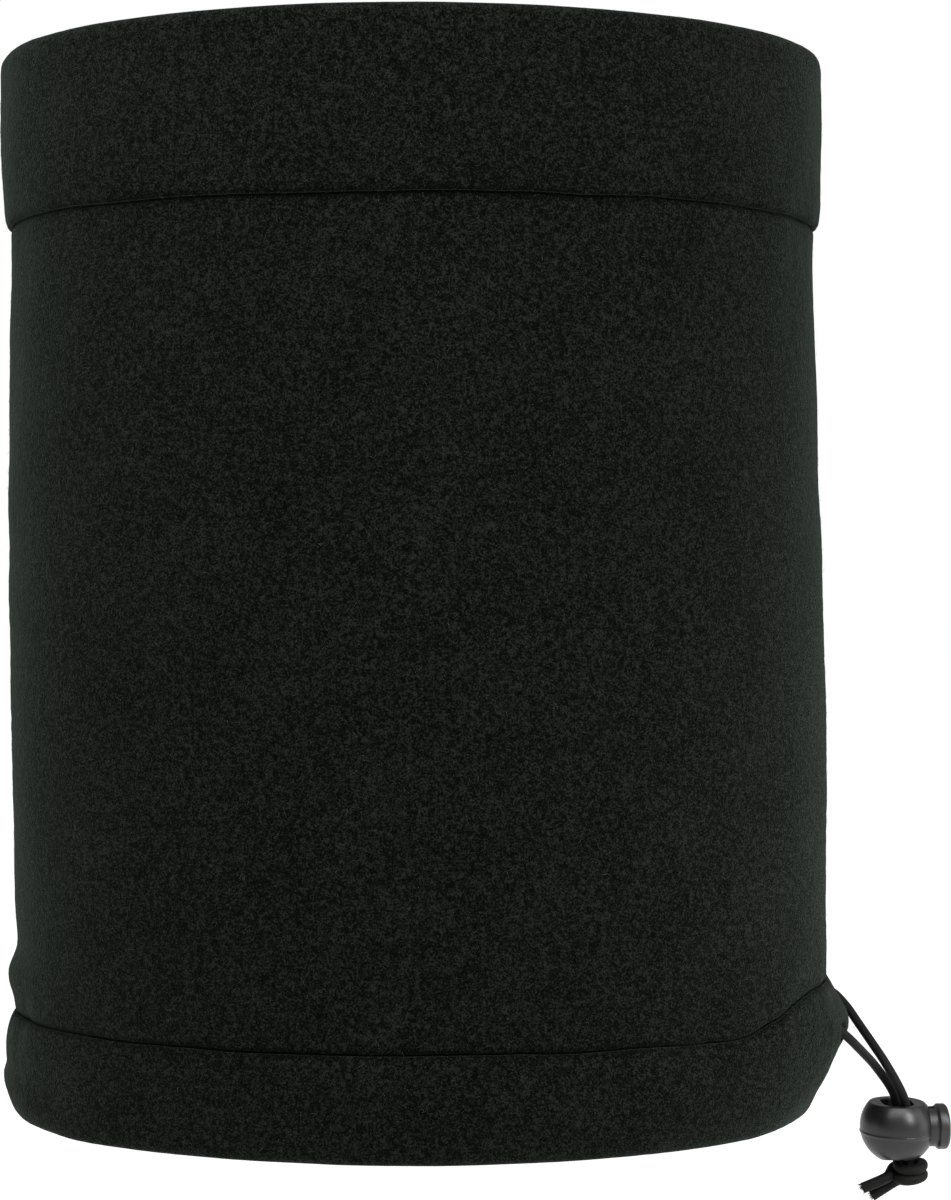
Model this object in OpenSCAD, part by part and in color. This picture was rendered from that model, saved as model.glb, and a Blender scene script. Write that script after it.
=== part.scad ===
// Fleece neck gaiter: an oval tube with a folded top band and a drawcord casing at its
// lower edge. The cord's two ends leave the casing at one side and run through a ball
// cord lock to a shared knot. The origin is the middle of the tube, +Z is up, the front
// faces -Y and the cord lock hangs at +X.

/* [Tube] */
// Width across the filled-out tube
tube_w = 195; // [150:1:240]
// Depth of the tube from front to back
tube_d = 128; // [96:1:160]
// Height from the bottom fold to the top fold
tube_h = 251; // [190:1:320]
// Thickness of one layer of fleece
fleece_t = 2.2; // [1.6:0.1:3]
// Squareness of the oval, where 2 is an ellipse
oval_power = 2.05; // [2:0.05:3]

/* [Top band] */
// Height of the doubled top band
band_h = 40.5; // [25:0.5:70]
// Height of the tube's edge held between the band's two leaves
band_allowance = 6; // [3:0.5:12]

/* [Bottom casing] */
// Height of the drawcord casing
casing_h = 24; // [18:0.5:40]
// Height of the tube's edge held between the casing's two leaves
casing_allowance = 4; // [2:0.5:6]
// Thickness of the casing's bottom fold
casing_fold = 4; // [2:0.5:6]
// How far the casing seam climbs at the cord side
seam_rise = 7.5; // [0:0.5:15]
// How far the cords draw the casing out at the cord side
flap_out = 4.2; // [0:0.1:8]
// Half width of the drawn-out stretch
flap_spread = 14; // [8:1:25]

/* [Seams] */
// Diameter of the sewing thread
thread_d = 0.7; // [0.3:0.1:1]
// Number of stitches around one seam
stitch_count = 120; // [60:10:180]
// Length of one stitch
stitch_l = 2.8; // [1:0.1:3]
// Width of each seam allowance turned in at the back seam
back_allowance = 6; // [3:0.5:10]
// Spacing of the stitches up the back seam
back_pitch = 6; // [3:0.5:12]
// Length of one bartack beside a cord exit
bartack_l = 5; // [3:0.5:8]

/* [Cord] */
// Diameter of the elastic cord lying slack in the casing
cord_d = 2.6; // [1.8:0.1:3]
// Diameter of the stretched leads
lead_d = 2.2; // [1.6:0.1:2.4]
// Diameter of the cord exits
exit_d = 3.6; // [3:0.1:5]
// Diameter of the knot
knot_d = 10.3; // [8:0.1:13]
// Thickness of the knot
knot_t = 5.5; // [4:0.1:8]
// Length of each cut tail beyond the knot's middle
tail_l = 10.4; // [8:0.1:20]

/* [Cord lock] */
// Diameter of the ball
ball_d = 17.8; // [16:0.1:21]
// Height of the flat top face above the ball's middle
top_flat = 5.9; // [5.6:0.1:7]
// Depth of the flat bottom face below the ball's middle
bottom_flat = 7.85; // [7:0.05:8.5]
// Distance of the plunger's side face from the ball's middle
side_flat = 7.3; // [7:0.1:8]
// Width of the cord slot
slot_w = 7.4; // [7:0.1:8]
// Length of the cord slot
slot_l = 10.6; // [9:0.1:12]
// Diameter of the plunger's barrel
plunger_d = 9.6; // [9:0.1:10]
// Diameter of the plunger's head
head_d = 10.9; // [10.4:0.1:13]
// Thickness of the plunger's head
head_t = 2.9; // [2:0.1:4]
// Length of plunger that shows between the ball and the head at rest
neck_l = 1.8; // [1.8:0.1:3]
// Gap between the plunger and its bore, all round
plunger_clear = 0.1; // [0.05:0.05:0.2]
// Wire diameter of the spring
wire_d = 0.5; // [0.3:0.1:0.7]
// Coils in the spring
spring_coils = 4; // [3:1:5]

/* [Hidden] */
$fn = 64;

fleece_colour = "#1f211f";
thread_colour = "#111211";
cord_colour = "#242524";
lock_colour = "#3a3b3a";
plunger_colour = "#454645";
steel_colour = "#b4b6b8";

// The tube's levels.
top_z = tube_h / 2;
bottom_z = -tube_h / 2;
top_seam_z = top_z - band_h;
casing_seam_z = bottom_z + casing_h;
floor_z = bottom_z + casing_fold;
oval_sides = 96;
seat_gap = 0.1;
rim_r = fleece_t;
rim_steps = 4;
far = 2 * (tube_w + tube_d);

// The casing's cord channel, as offsets from the tube's outer face.
channel_gap = 0.4;
channel_mid = -fleece_t / 2;
channel_out = channel_mid + cord_d / 2 + channel_gap;
channel_in = channel_mid - cord_d / 2 - channel_gap;
casing_out = channel_out + fleece_t;
casing_in = channel_in - fleece_t;
band_out = seat_gap + fleece_t;
band_in = -fleece_t - seat_gap - fleece_t;

// The seam climbs over the last stretch of the width on the cord side.
rise_start = tube_w / 2 - 12;
rise_end = tube_w / 2;

// Cord routes, counted from the cord side's bottom corner [tube_w / 2, 0, bottom_z].
corner = [tube_w / 2, 0, bottom_z];
front_route = [[1.6, -19, 20.7], [4.1, -16.6, 19.9], [7.2, -12.4, 17], [10.7, -7.4, 12.9],
               [13.7, -2.9, 9.6], [16, 0.5, 7.2], [18, 2.1, 5], [19.6, 2.3, 2.9],
               [20.6, 1.9, 0.8], [20.9, 1.5, -1.8], [20.9, 1.4, -6], [20.9, 1.4, -10.5],
               [20.9, 1.4, -14.4]];
rear_route = [[1.6, 19.6, 25.9], [4.5, 17.2, 25.3], [8.1, 14.4, 23.9], [10.7, 11.4, 20.9],
              [12.9, 8, 17.3], [15.1, 4.2, 13.8], [17.4, 0.8, 10.1], [19.6, -1, 6.2],
              [21.5, -1.5, 2.5], [22.7, -1.4, -0.8], [23.1, -1.4, -4], [23.1, -1.4, -9],
              [23.1, -1.4, -14.4]];
cord_rest_z = floor_z + 5;
leave_z = casing_seam_z - casing_allowance - cord_d;
casing_rings = 52;
leave_angle = 30;
climb_angle = 30;
straight_rings = 3;

// The cord lock and knot.
ball_pos = corner + [20.6, 0, -6];
knot_pos = corner + [23, 0, -16.85];
slot_gap = 0.05;
bore_floor = -6.8;
barrel_end = -3.6;
hole_left = 20.9 - 20.6 - lead_d / 2 - slot_gap;
press_travel = 1.7;
hole_right = 23.1 - 20.6 + lead_d / 2 + press_travel + 0.3;
hole_w = 6;
recess_d = 6.2;
recess_end = -2;
key_w = 2.2;
key_t = 0.9;
key_end = side_flat - 0.1;
key_bottom = plunger_d / 2 - 1.25;
parting_z = -1.2;
parting_r = 0.25;
spring_d = 5.2;
wire_sides = 6;
rings_per_coil = 12;

// Maths for ovals and routes.
function signed_power(c) = sign(c) * pow(abs(c), 2 / oval_power);
function oval_point(t, grow) = [(tube_w / 2 + grow) * signed_power(cos(t)),
                                (tube_d / 2 + grow) * signed_power(sin(t))];
function flap(p) = p[0] > 0 ? flap_out * exp(-pow(p[1] / flap_spread, 2) / 2) : 0;
function flap_point(t, grow) = let (p = oval_point(t, grow)) [p[0] + flap(p), p[1]];
function oval(grow) = [for (i = [0 : oval_sides - 1]) oval_point(360 * i / oval_sides, grow)];
function flap_oval(grow) = [for (i = [0 : oval_sides - 1]) flap_point(360 * i / oval_sides, grow)];
function clamp(v) = min(max(v, 0), 1);
function smooth(v) = let (c = clamp(v)) c * c * (3 - 2 * c);
function seam_line(x) = seam_rise * clamp((x - rise_start) / (rise_end - rise_start));
function unit(v) = v / norm(v);
function rim_inset(k) = rim_r * (1 - sqrt(1 - pow((k + 0.5) / rim_steps, 2)));

// A closed ring between two outlines, from height z0 to z1.
module ring(outer, inner, z0, z1) {
    translate([0, 0, z0])
        linear_extrude(z1 - z0)
            difference() {
                polygon(outer);
                polygon(inner);
            }
}

// Everything below the casing seam's line, which is lifted by dz.
module below_seam(dz) {
    z = casing_seam_z + dz;
    rotate([90, 0, 0])
        linear_extrude(far, center = true)
            polygon([[-far, z], [rise_start, z], [rise_end, z + seam_rise],
                     [far, z + seam_rise], [far, -far], [-far, -far]]);
}

// Runs a child that points up +Z from p towards q.
module along(p, q) {
    v = q - p;
    translate(p)
        rotate([0, acos(v[2] / norm(v)), atan2(v[1], v[0])])
            children();
}

// A round tube of diameter d swept through the points, with its rings turned by side.
module sweep(points, d, sides, side) {
    last = len(points) - 1;
    tangents = [for (i = [0 : last]) unit(points[min(i + 1, last)] - points[max(i - 1, 0)])];
    rings = [for (i = [0 : last])
                let (u = unit(cross(side, tangents[i])), w = cross(tangents[i], u))
                    for (k = [0 : sides - 1])
                        points[i] + d / 2 * (cos(360 * k / sides) * u + sin(360 * k / sides) * w)];
    walls = [for (i = [0 : last - 1], k = [0 : sides - 1])
                let (a = i * sides + k, b = i * sides + (k + 1) % sides)
                    [a, a + sides, b + sides, b]];
    start = [for (k = [0 : sides - 1]) k];
    end = [for (k = [sides - 1 : -1 : 0]) last * sides + k];
    polyhedron(rings, concat(walls, [start, end]));
}

// The tube of single fleece, closed at the back with its two edges turned in.
module body_panel() {
    back_y = tube_d / 2 - fleece_t - back_allowance;
    color(fleece_colour) {
        difference() {
            ring(oval(0), oval(-fleece_t), casing_seam_z - casing_allowance,
                 top_seam_z + band_allowance);
            below_seam(2 * seat_gap - casing_allowance);
        }
        translate([-fleece_t, back_y, casing_seam_z + 1])
            cube([2 * fleece_t, back_allowance + fleece_t / 2, top_seam_z - casing_seam_z - 2]);
    }
}

// The doubled band, whose two leaves hold the tube's top edge.
module top_band() {
    color(fleece_colour)
        difference() {
            union() {
                ring(oval(band_out), oval(band_in), top_seam_z, top_z - rim_r);
                for (k = [0 : rim_steps - 1])
                    ring(oval(band_out - rim_inset(k)), oval(band_in + rim_inset(k)),
                         top_z - rim_r + rim_r * k / rim_steps,
                         top_z - rim_r + rim_r * (k + 1) / rim_steps);
            }
            ring(oval(seat_gap), oval(-fleece_t - seat_gap), top_seam_z - 1,
                 top_seam_z + band_allowance + seat_gap);
        }
}

// The folded casing: two leaves around the tube's lower edge and the cord's channel.
module bottom_casing() {
    casing_top = casing_seam_z + seam_rise;
    color(fleece_colour)
        difference() {
            intersection() {
                union() {
                    ring(flap_oval(casing_out), oval(casing_in), bottom_z + rim_r, casing_top);
                    for (k = [0 : rim_steps - 1])
                        ring(flap_oval(casing_out - rim_inset(k)), oval(casing_in + rim_inset(k)),
                             bottom_z + rim_r - rim_r * (k + 1) / rim_steps,
                             bottom_z + rim_r - rim_r * k / rim_steps);
                }
                below_seam(0);
            }
            ring(oval(seat_gap), oval(-fleece_t - seat_gap), floor_z, casing_top + 1);
            intersection() {
                ring(flap_oval(channel_out), oval(channel_in), floor_z, casing_top);
                below_seam(-casing_allowance);
            }
            exit_bore(last_bend, casing_end);
            exit_bore(first_bend, casing_start);
        }
}

// The slanting hole that a cord leaves through, along its last straight stretch in the casing.
module exit_bore(bend, exit) {
    ahead = 8;
    along(bend, exit)
        cylinder(d = exit_d, h = norm(exit - bend) + ahead);
}

// One row of stitches lying around the tube, each along the oval at its place.
module seam_row(grow, with_flap, z) {
    for (i = [0 : stitch_count - 1]) {
        t = 360 * (i + 0.5) / stitch_count;
        p = with_flap ? flap_point(t, grow) : oval_point(t, grow);
        q = with_flap ? flap_point(t + 1, grow) : oval_point(t + 1, grow);
        lift = with_flap ? seam_line(p[0]) : 0;
        translate([p[0], p[1], z + lift])
            rotate([0, 90, atan2(q[1] - p[1], q[0] - p[0])])
                cylinder(d = thread_d, h = stitch_l, center = true, $fn = 16);
    }
}

module top_seam_stitching() {
    color(thread_colour)
        seam_row(band_out, false, top_seam_z + 2 * thread_d);
}

module casing_seam_stitching() {
    color(thread_colour)
        seam_row(casing_out, true, casing_seam_z - 2 * thread_d);
}

// Stitches through the two turned-in edges at the back.
module back_seam_stitching() {
    run = top_seam_z - casing_seam_z - 2 * back_pitch;
    rows = floor(run / back_pitch);
    color(thread_colour)
        for (k = [0 : rows])
            translate([0, tube_d / 2 - fleece_t - back_allowance / 2,
                       casing_seam_z + back_pitch * (k + 1)])
                rotate([0, 90, 0])
                    cylinder(d = thread_d, h = 2 * fleece_t + 2 * thread_d, center = true, $fn = 16);
}

// Two upright bars of thread, one at each end of a cord exit.
module exit_bartacks(route) {
    reach = 8;
    mid = corner + route[0];
    for (dy = [-reach, reach]) {
        y = mid[1] + dy;
        share = pow(1 - pow(abs(y) / (tube_d / 2 + casing_out), oval_power), 1 / oval_power);
        x = (tube_w / 2 + casing_out) * share;
        translate([x + flap([x, y]), y, mid[2]])
            cylinder(d = 1.6 * thread_d, h = bartack_l, center = true);
    }
}

module front_exit_bartacks() {
    color(thread_colour)
        exit_bartacks(front_route);
}

module rear_exit_bartacks() {
    color(thread_colour)
        exit_bartacks(rear_route);
}

// The elastic cord inside the casing, from one exit right round to the other.
function climb(t) = cord_rest_z + (leave_z - cord_rest_z) * smooth(1 - (t - leave_angle) / climb_angle);
function casing_point(t, z) = let (p = oval_point(t, channel_mid)) [p[0], p[1], z];
casing_start = corner + rear_route[0];
casing_end = corner + front_route[0];
first_bend = casing_point(leave_angle, leave_z);
last_bend = casing_point(-leave_angle, leave_z);
casing_route = concat(
    [for (i = [0 : straight_rings - 1]) casing_start + (first_bend - casing_start) * i / straight_rings],
    [for (i = [0 : casing_rings - 1])
        let (t = leave_angle + (360 - 2 * leave_angle) * i / (casing_rings - 1))
            casing_point(t, climb(min(t, 360 - t)))],
    [for (i = [1 : straight_rings]) last_bend + (casing_end - last_bend) * i / straight_rings]);

module casing_cord() {
    color(cord_colour)
        sweep(casing_route, cord_d, 8, [0, 0, 1]);
}

// The two leads run from the casing exits through the lock into the knot.
module front_lead() {
    color(cord_colour)
        sweep([for (p = front_route) corner + p], lead_d, 8, [1, -1, 0]);
}

module rear_lead() {
    color(cord_colour)
        sweep([for (p = rear_route) corner + p], lead_d, 8, [1, 1, 0]);
}

// The shared overhand knot, as a round-edged puck.
module cord_knot() {
    color(cord_colour)
        translate(knot_pos) {
            cylinder(d = knot_d - knot_t, h = knot_t, center = true);
            rotate_extrude()
                intersection() {
                    translate([knot_d / 2 - knot_t / 2, 0])
                        circle(d = knot_t);
                    translate([0, -knot_t])
                        square([knot_d, 2 * knot_t]);
                }
        }
}

// A cut tail that leaves the knot along the given direction.
module tail(start, direction) {
    color(cord_colour)
        along(knot_pos + start, knot_pos + start + direction)
            cylinder(d = cord_d, h = tail_l);
}

module front_tail() {
    tail([-1.5, -1.6, -0.2], [-0.88, 0, -0.36]);
}

module rear_tail() {
    tail([0.5, 1.2, -0.6], [-0.85, 0, -0.53]);
}

// The ball with its cord slot, plunger bore and retaining key.
module lock_body() {
    r = ball_d / 2;
    bore_d = plunger_d + 2 * plunger_clear;
    color(lock_colour)
        translate(ball_pos) {
            difference() {
                intersection() {
                    union() {
                        sphere(r);
                        translate([0, 0, parting_z])
                            rotate_extrude()
                                translate([sqrt(r * r - parting_z * parting_z), 0])
                                    circle(parting_r, $fn = 24);
                    }
                    translate([-ball_d, -ball_d, -bottom_flat])
                        cube([ball_d + side_flat, 2 * ball_d, bottom_flat + top_flat]);
                }
                cord_slot();
                translate([bore_floor, 0, 0])
                    rotate([0, 90, 0])
                        cylinder(d = bore_d, h = ball_d);
            }
            translate([key_end - key_t, -key_w / 2, key_bottom + plunger_clear])
                cube([key_t, key_w, top_flat - 0.5 - key_bottom - plunger_clear]);
        }
}

// The rounded slot through the ball for the two cords.
module cord_slot() {
    straight = slot_l - slot_w;
    translate([-slot_w / 2, -straight / 2, -ball_d])
        cube([slot_w, straight, 2 * ball_d]);
    for (s = [-1, 1])
        translate([0, s * straight / 2, -ball_d])
            cylinder(d = slot_w, h = 2 * ball_d);
}

// The sprung plunger: a barrel with a cross hole that pinches the cords, and a head.
module lock_plunger() {
    neck_end = side_flat + neck_l;
    flare = 0.6;
    edge = 0.5;
    notch_start = key_end - key_t - slot_gap;
    color(plunger_colour)
        translate(ball_pos)
            difference() {
                rotate([0, 90, 0]) {
                    translate([0, 0, barrel_end])
                        cylinder(d = plunger_d, h = neck_end - barrel_end);
                    translate([0, 0, neck_end])
                        cylinder(d1 = plunger_d, d2 = head_d, h = flare);
                    translate([0, 0, neck_end + flare])
                        cylinder(d = head_d, h = head_t - flare - edge);
                    translate([0, 0, neck_end + head_t - edge])
                        cylinder(d1 = head_d, d2 = head_d - 2 * edge, h = edge);
                }
                translate([hole_left, -hole_w / 2, -plunger_d])
                    cube([hole_right - hole_left, hole_w, 2 * plunger_d]);
                translate([notch_start, -key_w / 2 - plunger_clear, key_bottom])
                    cube([neck_end - notch_start, key_w + 2 * plunger_clear, plunger_d]);
                translate([barrel_end - 1, 0, 0])
                    rotate([0, 90, 0])
                        cylinder(d = recess_d, h = recess_end - barrel_end + 1);
            }
}

// The compression spring between the bore's floor and the plunger's recess.
module lock_spring() {
    free = recess_end - bore_floor - wire_d - 2 * slot_gap;
    steps = spring_coils * rings_per_coil;
    helix = [for (i = [0 : steps])
                [bore_floor + wire_d / 2 + slot_gap + free * i / steps,
                 spring_d / 2 * cos(360 * i / rings_per_coil),
                 spring_d / 2 * sin(360 * i / rings_per_coil)]];
    color(steel_colour)
        translate(ball_pos)
            sweep(helix, wire_d, wire_sides, [1, 0, 0]);
}

body_panel();
top_band();
bottom_casing();
top_seam_stitching();
casing_seam_stitching();
back_seam_stitching();
front_exit_bartacks();
rear_exit_bartacks();
casing_cord();
front_lead();
rear_lead();
cord_knot();
front_tail();
rear_tail();
lock_body();
lock_plunger();
lock_spring();
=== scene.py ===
"""Looks of a fleece neck gaiter: its cloth, seams, drawcord and ball cord lock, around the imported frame.

Everything is in metres in the frame's own axes: +Z up the tube, -Y the front, +X the cord lock's side.
"""

import logging
from dataclasses import dataclass, field
from enum import Enum

import bpy
import numpy as np
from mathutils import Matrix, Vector


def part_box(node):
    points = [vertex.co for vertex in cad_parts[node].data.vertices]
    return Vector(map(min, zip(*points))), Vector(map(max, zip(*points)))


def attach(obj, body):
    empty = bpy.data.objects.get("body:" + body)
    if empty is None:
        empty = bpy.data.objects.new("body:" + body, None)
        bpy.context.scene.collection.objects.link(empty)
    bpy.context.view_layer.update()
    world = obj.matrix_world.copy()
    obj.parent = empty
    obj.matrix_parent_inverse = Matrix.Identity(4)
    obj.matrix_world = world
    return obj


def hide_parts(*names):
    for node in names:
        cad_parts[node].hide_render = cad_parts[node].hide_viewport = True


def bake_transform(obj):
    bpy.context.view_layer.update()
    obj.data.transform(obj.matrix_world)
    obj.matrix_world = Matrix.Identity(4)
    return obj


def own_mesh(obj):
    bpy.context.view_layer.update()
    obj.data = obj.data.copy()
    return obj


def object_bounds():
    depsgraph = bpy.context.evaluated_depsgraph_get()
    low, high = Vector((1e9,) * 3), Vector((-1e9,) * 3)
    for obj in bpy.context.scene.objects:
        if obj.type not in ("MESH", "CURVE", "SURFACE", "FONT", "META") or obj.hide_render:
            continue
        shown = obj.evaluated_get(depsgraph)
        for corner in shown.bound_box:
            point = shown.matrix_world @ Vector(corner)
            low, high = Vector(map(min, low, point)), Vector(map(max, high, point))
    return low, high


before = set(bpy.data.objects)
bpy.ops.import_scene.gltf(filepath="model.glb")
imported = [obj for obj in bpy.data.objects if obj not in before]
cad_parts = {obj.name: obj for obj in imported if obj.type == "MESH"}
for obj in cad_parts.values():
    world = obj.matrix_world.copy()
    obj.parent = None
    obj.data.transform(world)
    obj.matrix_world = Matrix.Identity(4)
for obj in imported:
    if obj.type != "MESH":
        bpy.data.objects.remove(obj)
CAD_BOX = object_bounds()

MM = 0.001
LOG = logging.getLogger("neck_gaiter")
Array = np.ndarray
Shape = tuple[Array, list[Array]]
Material = bpy.types.Material
Socket = bpy.types.NodeSocket
Triple = tuple[float, float, float]


class Body(Enum):
    """The rigid bodies that pieces ride on."""

    GAITER = "gaiter"
    LOCK = "cord_lock"
    PLUNGER = "plunger"


class Slot(Enum):
    """The record's material slots."""

    FLEECE = "fleece"
    THREAD = "thread"
    CORD = "elastic_cord"
    LOCK = "lock_plastic"
    PLUNGER = "plunger_plastic"
    STEEL = "spring_steel"


# ---------------------------------------------------------------- numbers and shapes


def smooth(x: Array) -> Array:
    """Smoothstep: 3x^2 - 2x^3 of x held between 0 and 1."""
    held = np.clip(x, 0.0, 1.0)
    return held * held * (3.0 - 2.0 * held)


def bell(x: Array) -> Array:
    """Bell curve: e to the power of minus half x squared."""
    return np.exp(-0.5 * x * x)


def unit(vectors: Array) -> Array:
    """Vectors over their own lengths."""
    return vectors / np.linalg.norm(vectors, axis=-1, keepdims=True)


def grid_faces(rows: int, columns: int, wrap_rows: bool, wrap_columns: bool) -> Array:
    """Quads of a grid whose vertex in row i and column j is number i * columns + j.

    A face points along (step to the next column) x (step to the next row).

    Args:
        rows: Number of rows.
        columns: Number of columns.
        wrap_rows: Whether the last row joins the first.
        wrap_columns: Whether the last column joins the first.

    Returns:
        Vertex numbers, one row of four for each quad.
    """
    i = np.arange(rows if wrap_rows else rows - 1)
    j = np.arange(columns if wrap_columns else columns - 1)
    row, column = np.meshgrid(i, j, indexing="ij")
    above, beside = (row + 1) % rows, (column + 1) % columns
    this_row, next_row = row * columns, above * columns
    corners = [this_row + column, this_row + beside, next_row + beside, next_row + column]
    return np.stack(corners, axis=-1).reshape(-1, 4)


def grid_uv(along: Array, up: Array) -> Array:
    """UV of each corner of a grid's quads, from the places of its column and row edges.

    Args:
        along: Places of the columns' edges, one more than there are columns of quads.
        up: Places of the rows' edges, one more than there are rows of quads.

    Returns:
        One (u, v) for each face corner, in grid_faces' order.
    """
    low, left = np.meshgrid(up[:-1], along[:-1], indexing="ij")
    high, right = np.meshgrid(up[1:], along[1:], indexing="ij")
    corners = [(left, low), (right, low), (right, high), (left, high)]
    return np.stack([np.stack(pair, axis=-1) for pair in corners], axis=-2).reshape(-1, 2)


def new_piece(name: str, points: Array, faces: list[Array], finish: Material) -> bpy.types.Object:
    """Makes a smooth-shaded mesh object at the origin.

    Args:
        name: The piece's name.
        points: Vertex places.
        faces: Arrays of vertex numbers, one array for each number of corners.
        finish: The material.

    Returns:
        The linked object.
    """
    mesh = bpy.data.meshes.new(name)
    points = points.reshape(-1, 3)
    mesh.vertices.add(len(points))
    mesh.vertices.foreach_set("co", points.astype(np.float32).ravel())
    corners = np.concatenate([block.ravel() for block in faces])
    totals = np.concatenate([np.full(len(block), block.shape[1]) for block in faces])
    mesh.loops.add(len(corners))
    mesh.loops.foreach_set("vertex_index", corners.astype(np.int32))
    mesh.polygons.add(len(totals))
    mesh.polygons.foreach_set("loop_start", (np.cumsum(totals) - totals).astype(np.int32))
    mesh.update(calc_edges=True)
    mesh.validate()
    mesh.polygons.foreach_set("use_smooth", np.ones(len(totals), bool))
    mesh.materials.append(finish)
    piece = bpy.data.objects.new(name, mesh)
    bpy.context.scene.collection.objects.link(piece)
    return piece


def set_uv(piece: bpy.types.Object, uv: Array) -> None:
    """Gives a mesh its UV map, from one (u, v) for each face corner."""
    layer = piece.data.uv_layers.new(name="UVMap")
    layer.data.foreach_set("uv", uv.astype(np.float32).ravel())


def set_point_value(piece: bpy.types.Object, name: str, values: Array) -> None:
    """Gives every vertex of a mesh a number that its material reads by name.

    Args:
        piece: The piece.
        name: The number's name.
        values: One number for each vertex.
    """
    attribute = piece.data.attributes.new(name, "FLOAT", "POINT")
    attribute.data.foreach_set("value", values.astype(np.float32).ravel())


def section(corners: list[Triple], cuts: int = 3) -> Array:
    """Rounded closed cross-section.

    Each cut replaces every corner by the points a quarter and three quarters of the way along its
    edges, which tends to a smooth curve that touches the middle of each edge. The points are then
    spread so that each stretch has the row spacing that its corners carry.

    Args:
        corners: (outward offset, height, row spacing) of each corner, in order.
        cuts: How often the corners are cut.

    Returns:
        One (offset, height) for each row.
    """
    loop = np.array(corners)
    for _ in range(cuts):
        following = np.roll(loop, -1, axis=0)
        pairs = [0.75 * loop + 0.25 * following, 0.25 * loop + 0.75 * following]
        loop = np.stack(pairs, axis=1).reshape(-1, 3)
    closed = np.vstack([loop, loop[:1]])
    step = np.diff(closed, axis=0)
    rows_passed = np.hypot(step[:, 0], step[:, 1]) / (0.5 * (closed[1:, 2] + closed[:-1, 2]))
    reach = np.concatenate([[0.0], np.cumsum(rows_passed)])
    count = int(round(reach[-1]))
    at = np.arange(count) * reach[-1] / count
    return np.stack([np.interp(at, reach, closed[:, k]) for k in (0, 1)], axis=1)


def resample(points: Array, spacing: float) -> Array:
    """Points evenly spaced along a line of straight stretches, with both its ends kept.

    Args:
        points: The line's corners.
        spacing: Distance between the points, nearly.

    Returns:
        The points.
    """
    length = np.concatenate([[0.0], np.cumsum(np.linalg.norm(np.diff(points, axis=0), axis=1))])
    at = np.linspace(0.0, length[-1], int(round(length[-1] / spacing)) + 1)
    return np.stack([np.interp(at, length, points[:, k]) for k in range(3)], axis=1)


def flowing_path(points: Array, spacing: float, softening: int) -> Array:
    """A smooth path near given points.

    The line is resampled evenly, then each inner point is moved `softening` times to a quarter of
    its neighbours' sum plus half itself.

    Args:
        points: The given points.
        spacing: Distance between the path's points.
        softening: Number of averaging passes.

    Returns:
        The path, with the first and last points unmoved.
    """
    path = resample(points, spacing)
    for _ in range(softening):
        path[1:-1] = 0.25 * path[:-2] + 0.5 * path[1:-1] + 0.25 * path[2:]
    return resample(path, spacing)


def path_length(path: Array) -> float:
    """Length of a path of straight steps."""
    return float(np.linalg.norm(np.diff(path, axis=0), axis=1).sum())


def tubes(paths: Array, radii: Array, sides: int, up: Array, relief: Array | None = None) -> Shape:
    """Closed round tubes, all worked out together.

    A ring's point is the path's point plus radius * (cos(a) * u + sin(a) * w). u starts as `up` and
    loses its part along the path at each ring, so that the tube doesn't twist, and w is the path's
    direction x u. Each end is closed by a fan to a pole.

    Args:
        paths: Path points, shaped (tubes, rings, 3).
        radii: Radius at each ring, shaped (tubes, rings) or (rings,).
        sides: Points in a ring.
        up: First direction of u, shaped (tubes, 3) or (3,).
        relief: Share by which each ring's points stand out, shaped (rings, sides).

    Returns:
        The vertices, and the faces as arrays of quads and of triangles.
    """
    count, rings = paths.shape[:2]
    tangent = unit(np.gradient(paths, axis=1))
    u = np.empty_like(paths)
    level = np.broadcast_to(up, (count, 3)).astype(float)
    for k in range(rings):
        level = level - tangent[:, k] * np.sum(level * tangent[:, k], axis=1, keepdims=True)
        level = unit(level)
        u[:, k] = level
    w = np.cross(tangent, u)
    angle = np.arange(sides) * 2.0 * np.pi / sides
    spread = np.broadcast_to(radii, (count, rings))[:, :, None]
    spread = spread * (1.0 if relief is None else 1.0 + relief[None])
    spread = np.broadcast_to(spread, (count, rings, sides))[..., None]
    cosine, sine = np.cos(angle)[:, None], np.sin(angle)[:, None]
    ring = cosine * u[:, :, None] + sine * w[:, :, None]
    wall = (paths[:, :, None] + spread * ring).reshape(count, -1, 3)
    vertices = np.concatenate([wall, paths[:, :1], paths[:, -1:]], axis=1)
    first = (np.arange(count) * (rings * sides + 2))[:, None, None]
    quads = grid_faces(rings, sides, False, True)[None] + first
    here, beside = np.arange(sides), (np.arange(sides) + 1) % sides
    start = np.stack([np.full(sides, rings * sides), beside, here], axis=1)
    last = (rings - 1) * sides
    end = np.stack([np.full(sides, rings * sides + 1), last + here, last + beside], axis=1)
    fans = np.concatenate([start, end])[None] + first
    return vertices.reshape(-1, 3), [quads.reshape(-1, 4), fans.reshape(-1, 3)]


# ---------------------------------------------------------------- finishes


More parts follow.
